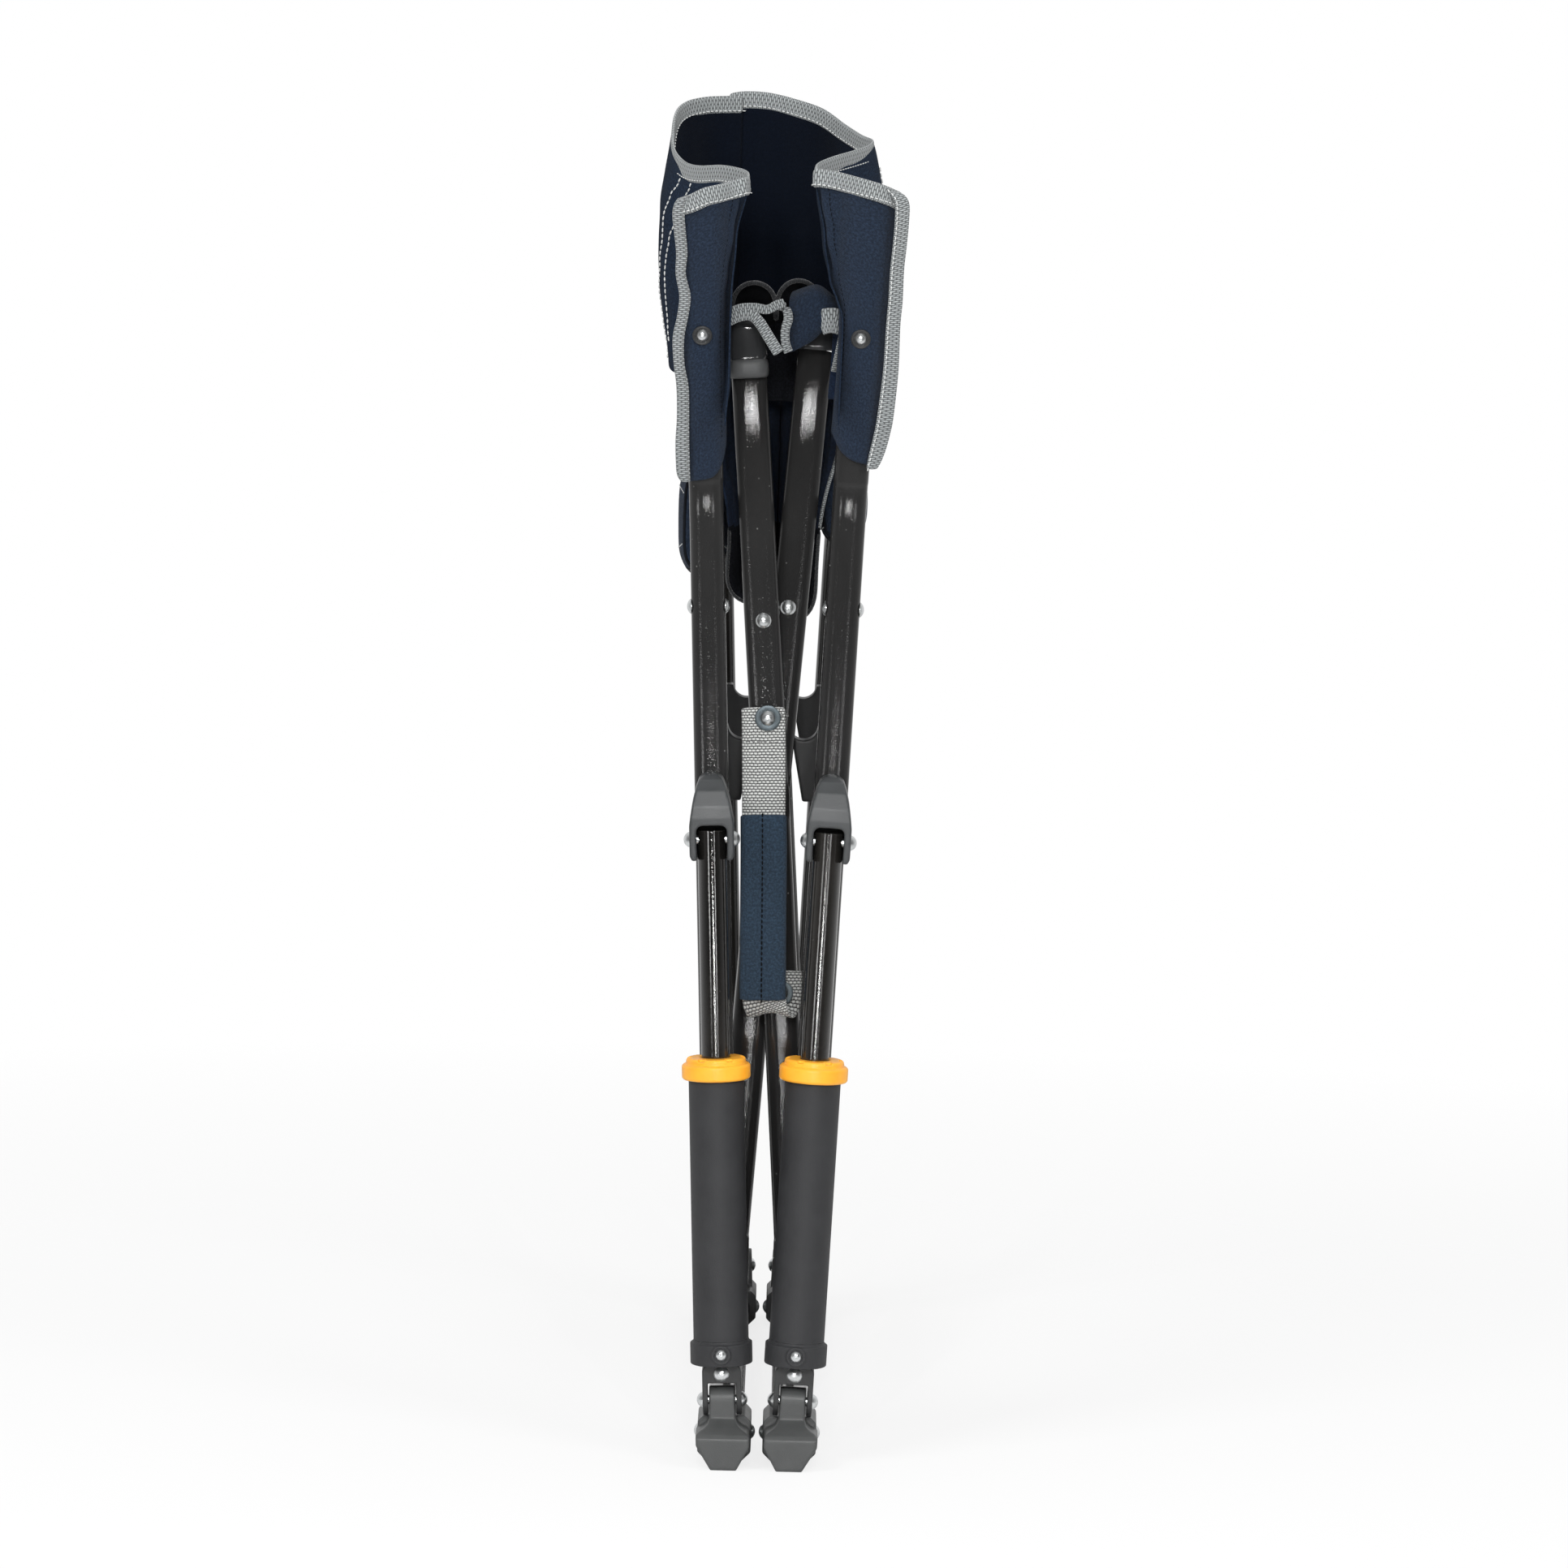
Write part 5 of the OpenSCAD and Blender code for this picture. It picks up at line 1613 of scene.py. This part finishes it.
def make_sling(layer):
    """Half of the hanging seat; returns its columns of points."""
    side = LAYER_SIDES[layer]
    steps, rows = 56, 72
    mouth = smooth_line([(x * MM, 0, z * MM) for x, z in MOUTH[layer]], steps)
    pinch = smooth_line([(x * MM, 0, z * MM) for x, z in PINCH], steps)
    seed = 11.0 if layer == "a" else 15.0
    columns = []
    for j in range(rows):
        along = j / (rows - 1)
        y = MOUTH_Y + (SLING_FRONT - MOUTH_Y) * along ** 1.5
        gape = from_table(MOUTH_SHARE, -y / MM)[0]
        column = []
        for i in range(steps):
            spot = pinch[i].lerp(mouth[i], gape)
            share = i / (steps - 1)
            calm = fade(share, 0.08, 0.3) * fade(1 - share, 0.0, 0.2)
            fold = wrinkle(spot.z, y, seed, 14.0, 7.0) * calm * 0.006 * gape * (1 - gape)
            sway = wrinkle(spot.z, y, 13.0, 14.0, 7.0) * calm * 0.0022 * (1 - gape)
            x = side * max(0.0007, spot.x + fold) + sway if share < 1 else 0.0
            lift = 0.0035 * math.sin(along * 9.0 + seed) * fade(share, 0.5, 1.0) * (1 - share)
            column.append(Vector((x, y, spot.z + lift * (1 - gape))))
        columns.append(column)
    sling = cloth_piece("seat_sling_cloth_" + layer, columns, SEAT_CLOTH, CLOTH_T)
    sling.data.materials.append(DARK_MESH)
    for face in sling.data.polygons:
        if face.center.z < MESH_BELOW:
            face.material_index = 1
    carry(sling, sling_hold(layer))
    return columns


def make_corner_mesh(layer):
    """Black mesh end of the seat's hem, gaping over the rear cap."""
    side = LAYER_SIDES[layer]
    middle, crown, half = (-18.2, 757.5, 14.6) if layer == "a" else (10.3, 759.5, 14.6)
    columns = []
    for i in range(31):
        angle = math.pi * i / 30
        column = []
        for j in range(26):
            share = j / 25
            tall = max(0.0, math.sin(angle)) ** 0.62
            rear = Vector((
                (middle + half * math.cos(angle)) * MM, -0.206, (733 + (crown - 733) * tall) * MM
            ))
            ring = Vector((
                side * RAIL_X + 0.0084 * math.cos(angle), -0.128, RAIL_Z + 0.0118 * math.sin(angle)
            ))
            spot = rear.lerp(ring, share)
            dent = wrinkle(angle * 0.02, spot.y, 41.0 + side, 30.0, 40.0) * 0.0013 * fade(share, 0, 0.3)
            column.append(spot + Vector((dent, 0, dent)))
        columns.append(column)
    cover = cloth_piece("seat_corner_mesh_" + layer, columns, DARK_MESH, CLOTH_T)
    carry(cover, "cross_" + layer)
    line = [column[0] for column in columns]
    downs = [Vector((0, 1, 0))] * len(line)
    faces = []
    for i in range(len(line)):
        faces.append(direction_at(line, i).cross(downs[i]).normalized())
    line = [spot - Vector((0, 0.003, 0)) for spot in line]
    rim = tape_piece("seat_corner_rim_" + layer, line, downs, faces, 0.010, 0.0030, DARK_BINDING)
    carry(rim, "cross_" + layer)


def make_seat_gusset():
    """Dark cloth flap sewn to one rail's hem; it closes the seat's rear end when folded."""
    columns = []
    for i in range(24):
        x = (-12.0 + 24.0 * i / 23) * MM
        column = []
        for j in range(18):
            z = (741 - 61 * j / 17) * MM
            ease = wrinkle(x, z, 51.0, 60.0, 30.0) * 0.0022
            column.append(Vector((x, -0.150 + ease, z)))
        columns.append(column)
    gusset = cloth_piece("seat_gusset", columns, DARK_MESH, CLOTH_T)
    carry(gusset, "cross_b")


def make_rail_hem(layer):
    """The sewn hem that slides over a seat rail."""
    side = LAYER_SIDES[layer]
    columns = []
    around, stations = 26, 50
    for i in range(around):
        angle = 2 * math.pi * i / around
        column = []
        for j in range(stations):
            y = SLING_REAR - 0.004 + (SLING_FRONT - SLING_REAR + 0.008) * j / (stations - 1)
            puff = 1 + 0.06 * wrinkle(angle * 0.02, y, 5.0 + side, 26.0, 50.0)
            x = 0.0074 * math.cos(angle) * puff
            z = 0.0106 * math.sin(angle) * puff
            column.append(Vector((side * RAIL_X + x, y, RAIL_Z + z)))
        columns.append(column)
    hem = cloth_piece("seat_hem_" + layer, columns, NAVY_CLOTH, CLOTH_T, True)
    carry(hem, "cross_" + layer)
    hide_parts("seat_sling_" + layer)
    line = [Vector((side * RAIL_X + side * 0.0068, SLING_REAR + 0.33 * i / 119, RAIL_Z - 0.0062))
            for i in range(120)]
    seam = stitch_piece("seat_hem_stitches_" + layer, [line], NAVY_THREAD)
    carry(seam, "cross_" + layer)


def make_sling_binding(layer, columns):
    """Binding on the seat's rear and front edges; the rear one is grey only on the inner bar's side."""
    rear, front = columns[0], columns[-1]
    turn = next(i for i, spot in enumerate(rear) if spot.z < MESH_BELOW)
    upper = BINDING if layer == "b" else SEAT_CLOTH
    for label, line, way, look in (
        ("rear", rear[:turn + 1], 1, upper), ("rear_low", rear[turn:], 1, DARK_BINDING),
        ("front", front, -1, BINDING),
    ):
        line = line[::2] + [line[-1]]
        downs = [Vector((0, way, 0)) for _ in line]
        faces = []
        for i in range(len(line)):
            faces.append(direction_at(line, i).cross(downs[i]).normalized())
        line = [point - down * 0.001 for point, down in zip(line, downs)]
        tape = tape_piece(f"seat_binding_{label}_{layer}", line, downs, faces, TAPE_W, TAPE_T, look)
        carry(tape, sling_hold(layer))


for layer in "ab":
    columns = make_sling(layer)
    make_rail_hem(layer)
    make_sling_binding(layer, columns)
    make_corner_mesh(layer)
make_seat_gusset()

# ---------------------------------------------------------------- crumpled seat corners over the rear caps


CORNER_TAPE_T = 0.0018


def loose_tape(name, points, width, thick, material, across, count=60):
    """A tape lying loose along points in mm; its width turns through the directions in across."""
    line = smooth_line(in_metres(points), count)
    downs, faces = [], []
    for i in range(count):
        along = direction_at(line, i).normalized()
        share = i / (count - 1) * (len(across) - 1)
        k = min(int(share), len(across) - 2)
        down = Vector(across[k]).lerp(Vector(across[k + 1]), fade(share - k, 0, 1))
        down = (down - along * down.dot(along)).normalized()
        downs.append(down)
        faces.append(along.cross(down).normalized())
    starts = [point - down * width / 2 for point, down in zip(line, downs)]
    return tape_piece(name, starts, downs, faces, width, thick, material)


def make_cap_crumples():
    """Binding ends, lining and hood of the seat's rear corners, loose over the two rear caps."""
    upper = loose_tape(
        "seat_corner_tape_upper",
        [(-35.5, -230, 737), (-33.5, -239, 738.5), (-26, -240.5, 741.5), (-17.3, -240, 742),
         (-9.7, -238.5, 741), (-4, -237.5, 743.8), (1.4, -238, 745.5)],
        0.0062, CORNER_TAPE_T, BINDING,
        across=[(0.2, 0.3, -1), (0, 0.25, -1), (0, 0.1, -1), (0, 0.2, -1), (0.2, 0.2, -1)],
    )
    corner = loose_tape(
        "seat_corner_tape_fold",
        [(-2.0, -235.2, 743.8), (2.2, -234.8, 742), (4.0, -236.4, 736), (2.2, -237.2, 728),
         (2.6, -236.2, 720), (4.6, -234.4, 714)],
        0.0062, CORNER_TAPE_T, BINDING,
        across=[(0.6, 0.2, -1), (1, 0.2, 0.2), (1, 0.35, 0), (1, 0.3, 0.1)],
    )
    lower = loose_tape(
        "seat_corner_tape_lower",
        [(-36.0, -229, 731), (-34.3, -239, 733.2), (-27, -241.4, 736.6), (-19.8, -241.8, 737.2),
         (-14.2, -241.6, 732.6), (-8.4, -241.2, 723.8), (-1.6, -240.4, 713.4)],
        0.0074, CORNER_TAPE_T, BINDING,
        across=[(0.2, 0.3, -1), (0, 0.2, -1), (-0.3, 0.1, -1), (-0.9, 0.05, -0.5), (-0.9, 0.1, -0.5)],
    )
    for tape in (upper, corner, lower):
        carry(tape, "cross_a")
    loop = loose_tape(
        "seat_corner_loop_front",
        [(24.6, -231.5, 733.2), (27.6, -234.0, 734.4), (31.6, -235.6, 735.0), (35.4, -235.4, 734.4),
         (38.4, -232.6, 733.4), (40.0, -228.5, 732.2)],
        0.0165, CORNER_TAPE_T, BINDING,
        across=[(0.12, 0, -1), (0.04, 0, -1), (-0.08, 0, -1)],
    )
    tail = loose_tape(
        "seat_corner_loop_tail",
        [(36.6, -230.0, 743.6), (38.6, -228.6, 741.0), (39.4, -227.8, 734.0), (38.4, -227.4, 725.0),
         (37.0, -227.0, 717.0), (35.4, -226.4, 709.0), (34.0, -225.4, 702.0)],
        0.0050, CORNER_TAPE_T, BINDING,
        across=[(0.5, 0.3, -0.8), (1, 0.5, 0), (0.9, 0.6, 0)],
    )
    for tape in (loop, tail):
        carry(tape, "cross_b")
    lining_rows = [
        [(33.4, -214.5, 742.5), (36.8, -218.0, 743.4), (40.0, -214.0, 742.0)],
        [(33.2, -215.0, 733.0), (37.4, -219.0, 733.0), (41.6, -215.0, 733.0)],
        [(32.6, -215.0, 723.0), (37.2, -218.4, 723.0), (41.6, -214.4, 723.0)],
        [(32.2, -214.5, 713.0), (36.6, -217.2, 713.0), (41.0, -214.0, 713.0)],
        [(31.8, -213.6, 704.0), (35.8, -215.6, 704.0), (40.0, -213.2, 704.0)],
        [(31.0, -212.6, 694.0), (34.6, -214.2, 694.0), (38.6, -212.4, 694.0)],
        [(30.4, -211.6, 684.0), (33.4, -213.0, 684.0), (36.6, -211.6, 684.0)],
    ]
    rows = [smooth_line(in_metres(row), 12) for row in lining_rows]
    columns = [smooth_line([row[j] for row in rows], 24) for j in range(12)]
    lining = cloth_piece("seat_corner_lining", columns, SEAT_CLOTH, CLOTH_T)
    carry(lining, "cross_b")
    hood_rows = [
        [(1.5, -222, 717.5), (4.2, -226.5, 733), (4.4, -224.5, 747), (6.0, -214, 752)],
        [(4.6, -226, 713.8), (10.2, -231.6, 732), (12.0, -228.5, 750.4), (13.5, -214, 755)],
        [(10.2, -229.4, 715.8), (17.8, -233, 731), (20.6, -229.5, 753), (22.0, -213, 757)],
        [(19.6, -229.8, 721.6), (25.2, -232.6, 734), (28.0, -229.2, 750), (29.0, -213, 753)],
        [(28.4, -228.4, 730.0), (31.6, -230.4, 737.6), (33.6, -227.5, 744.5), (35.0, -213, 747)],
        [(34.6, -222.0, 730.4), (36.4, -224.0, 735), (37.4, -221, 740), (38.0, -211, 742)],
    ]
    rows = [smooth_line(in_metres(row), 18) for row in hood_rows]
    columns = [smooth_line([row[j] for row in rows], 26) for j in range(18)]
    hood = cloth_piece("seat_corner_hood", columns, NAVY_CLOTH, 0.0016, levels=2)
    carry(hood, "cross_b")


make_cap_crumples()

# ---------------------------------------------------------------- carry strap

STRAP_W = 0.0287
STRAP_WASHER_Y, STRAP_RIVET_UP, STRAP_RIVET_LOW = POST_Y + 0.0048, 0.0495, -0.1290
STRAP_LINE = [
    (-6.5, -225.75, 486.0), (-5.9, -225.75, 472.0), (-5.3, -226.6, 452.0), (-4.7, -230.0, 425.0),
    (-4.0, -234.0, 392.0), (-3.4, -236.2, 350.0), (-2.9, -236.2, 315.0), (-1.8, -235.6, 298.0),
    (1.0, -233.4, 290.8), (4.6, -229.4, 289.4), (7.2, -226.2, 293.0), (8.4, -225.75, 301.0),
    (8.4, -225.75, 316.0),
]
# ends of the two tack rows, across and up (mm)
STRAP_TACKS = [(-11.4, 480.6), (9.0, 480.6)], [(-16.0, 463.4), (6.4, 463.4)]
WRAP_LINE = [
    (-4.6, -231.2, 417.0), (-4.0, -234.5, 392.0), (-3.4, -236.6, 350.0), (-2.9, -236.6, 315.0),
    (-2.6, -236.6, 297.0),
]


def make_carry_strap():
    """Webbing with its cloth wrap, seam, washers and tacks, riveted to the outer bar."""
    strap = loose_tape(
        "carry_strap_webbing", STRAP_LINE, STRAP_W, 0.0019, WEBBING, count=150,
        across=[(1, 0, 0.02)] * 2,
    )
    carry(strap, "cross_a")
    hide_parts("carry_strap")
    wrap = loose_tape(
        "carry_strap_wrap", WRAP_LINE, 0.0306, 0.0058, WRAP_CLOTH_PAINTED_LIGHT, count=80, across=[(1, 0, 0)] * 2
    )
    carry(wrap, "cross_a")
    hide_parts("strap_wrap")
    line = smooth_line(in_metres(WRAP_LINE), 60)
    seam = [point + Vector((-0.0008, -0.0031, 0)) for point in line]
    stitches = stitch_piece(
        "carry_strap_seam", [seam], NAVY_THREAD, pitch=0.0034, length=0.0028, radius=0.0006
    )
    carry(stitches, "cross_a")
    along, _ = bar_frame("a")
    for label, up in (("top", STRAP_RIVET_UP), ("low", STRAP_RIVET_LOW)):
        spot = Vector((0, STRAP_WASHER_Y, PIVOT_Z)) + along * up
        ring = lathe_piece(
            "carry_strap_washer_" + label,
            [(-0.0009, 0.00835), (0.0001, 0.0083), (0.00035, 0.0078), (0.00035, 0.0057),
             (0.0001, 0.0051)],
            spot, Vector((0, -1, 0)), WASHER_STEEL,
        )
        carry(ring, "cross_a")
    lines = []
    for (x0, z0), (x1, z1) in STRAP_TACKS:
        lines.append([
            Vector(((x0 + (x1 - x0) * i / 20) * MM, -0.22685, (z0 + (z1 - z0) * i / 20) * MM))
            for i in range(21)
        ])
    tacks = stitch_piece("carry_strap_tacks", lines, GREY_THREAD)
    carry(tacks, "cross_a")


make_carry_strap()

# ---------------------------------------------------------------- camera, floor and light

VIEW_TARGET = Vector((0.008, -0.265, 0.440))
VIEW_PLACE = Vector((0.008, -4.265, 0.800))
VIEW_ROLL = math.radians(1.31)

camera = bpy.data.objects.new("camera", bpy.data.cameras.new("camera"))
bpy.context.scene.collection.objects.link(camera)
camera.data.lens = 144.6
camera.data.sensor_width = 36.0
camera.data.clip_end = 100.0
camera.location = VIEW_PLACE
aim = (VIEW_TARGET - VIEW_PLACE).to_track_quat("-Z", "Y").to_matrix().to_4x4()
camera.matrix_world = Matrix.Translation(VIEW_PLACE) @ aim @ Matrix.Rotation(VIEW_ROLL, 4, "Z")
bpy.context.scene.camera = camera

FLOOR_REACH = 1.9


def make_floor():
    """A matt floor that keeps the chair's shadow and fades into the white surround."""
    mesh = bpy.data.meshes.new("floor")
    rim = [
        (FLOOR_REACH * math.cos(2 * math.pi * i / 64), FLOOR_REACH * math.sin(2 * math.pi * i / 64), 0)
        for i in range(64)
    ]
    mesh.from_pydata(rim, [], [tuple(range(64))])
    floor = bpy.data.objects.new("floor", mesh)
    bpy.context.scene.collection.objects.link(floor)
    material = bpy.data.materials.new("studio_floor")
    material.use_nodes = True
    tree = Tree(material.node_tree)
    material.node_tree.nodes.clear()
    ground = tree.add("ShaderNodeBsdfDiffuse")
    ground.inputs["Color"].default_value = (0.88, 0.88, 0.88, 1.0)
    glow = tree.add("ShaderNodeEmission")
    path = tree.add("ShaderNodeLightPath")
    seen = tree.math("MULTIPLY", path.outputs["Is Camera Ray"], 0.8)
    mix = tree.add("ShaderNodeMixShader")
    tree.put(mix.inputs[0], seen)
    tree.put(mix.inputs[1], ground.outputs[0])
    tree.put(mix.inputs[2], glow.outputs[0])
    far = tree.add("ShaderNodeVectorMath", operation="LENGTH")
    tree.put(far.inputs[0], tree.add("ShaderNodeTexCoord").outputs["Object"])
    fading = tree.remap(far.outputs["Value"], 0.35, FLOOR_REACH * 0.95, 0.0, 1.0)
    clear = tree.add("ShaderNodeBsdfTransparent")
    edge = tree.add("ShaderNodeMixShader")
    tree.put(edge.inputs[0], fading)
    tree.put(edge.inputs[1], mix.outputs[0])
    tree.put(edge.inputs[2], clear.outputs[0])
    tree.put(tree.add("ShaderNodeOutputMaterial").inputs["Surface"], edge.outputs[0])
    mesh.materials.append(material)


def make_world():
    """White surround; gloss sees it white from the sides, back and top, and dim in front."""
    world = bpy.data.worlds.new("studio")
    bpy.context.scene.world = world
    world.use_nodes = True
    tree = Tree(world.node_tree)
    world.node_tree.nodes.clear()
    path = tree.add("ShaderNodeLightPath")
    parts = tree.add("ShaderNodeSeparateXYZ")
    tree.put(parts.inputs[0], tree.add("ShaderNodeTexCoord").outputs["Generated"])
    behind = tree.remap(parts.outputs[1], -0.75, 0.35, 0.07, 0.85)
    above = tree.remap(parts.outputs[2], 0.45, 0.85, 0.0, 0.6)
    gloss = tree.math("MAXIMUM", behind, above)
    shiny = tree.math(
        "MAXIMUM", path.outputs["Is Glossy Ray"], path.outputs["Is Transmission Ray"]
    )
    lit = tree.math("MULTIPLY_ADD", shiny, tree.math("SUBTRACT", gloss, 0.30), 0.30)
    strength = tree.math("MAXIMUM", lit, path.outputs["Is Camera Ray"])
    surround = tree.add("ShaderNodeBackground")
    surround.inputs["Color"].default_value = (1.0, 1.0, 1.0, 1.0)
    tree.put(surround.inputs["Strength"], strength)
    tree.put(tree.add("ShaderNodeOutputWorld").inputs["Surface"], surround.outputs[0])


def make_lamp(name, place, target, size, power, mirrored=True):
    """A rectangular lamp that points at a target; mirrored says whether gloss shows it."""
    lamp = bpy.data.lights.new(name, "AREA")
    lamp.shape = "RECTANGLE"
    lamp.size, lamp.size_y = size
    lamp.energy = power
    thing = bpy.data.objects.new(name, lamp)
    bpy.context.scene.collection.objects.link(thing)
    place = Vector(place)
    turn = (Vector(target) - place).to_track_quat("-Z", "Y").to_matrix().to_4x4()
    thing.matrix_world = Matrix.Translation(place) @ turn
    thing.visible_glossy = mirrored


make_floor()
make_world()
make_lamp("key_lamp", (-1.7, -2.1, 2.3), (0, -0.2, 0.5), (1.1, 1.1), 44, mirrored=False)
make_lamp("fill_lamp", (1.9, -2.0, 1.6), (0, -0.2, 0.45), (0.9, 1.2), 26, mirrored=False)
make_lamp("top_lamp", (0.1, 0.3, 2.9), (0, 0, 0.4), (1.8, 1.8), 16)
# strips that draw the bright streaks on bends and rods
make_lamp("strip_left", (-0.42, -2.55, 1.32), (0, -0.23, 0.66), (0.022, 0.50), 9.0)
make_lamp("strip_mid_left", (-0.085, -2.55, 1.34), (0, -0.23, 0.66), (0.016, 0.50), 6.6)
make_lamp("strip_mid", (0.005, -2.55, 1.37), (0, -0.23, 0.66), (0.008, 0.40), 2.6)
make_lamp("strip_mid_right", (0.070, -2.55, 1.33), (0, -0.23, 0.66), (0.013, 0.52), 5.6)
make_lamp("strip_right", (0.42, -2.55, 1.32), (0, -0.23, 0.66), (0.022, 0.50), 9.0)
make_lamp("low_strip_left", (-0.15, -2.35, 0.07), (0, -0.24, 0.60), (0.020, 0.13), 1.9)
make_lamp("low_strip_mid", (-0.02, -2.35, 0.08), (0, -0.24, 0.60), (0.010, 0.10), 0.8)
make_lamp("low_strip_right", (0.13, -2.35, 0.07), (0, -0.24, 0.60), (0.020, 0.13), 1.9)
make_lamp("rod_strip_left", (-1.15, -2.3, 0.11), (0, -0.26, 0.35), (0.34, 0.24), 2.2)
make_lamp("rod_strip_right", (0.75, -2.5, 0.11), (0, -0.26, 0.35), (0.26, 0.24), 1.6)

bpy.context.scene.view_settings.view_transform = "Standard"
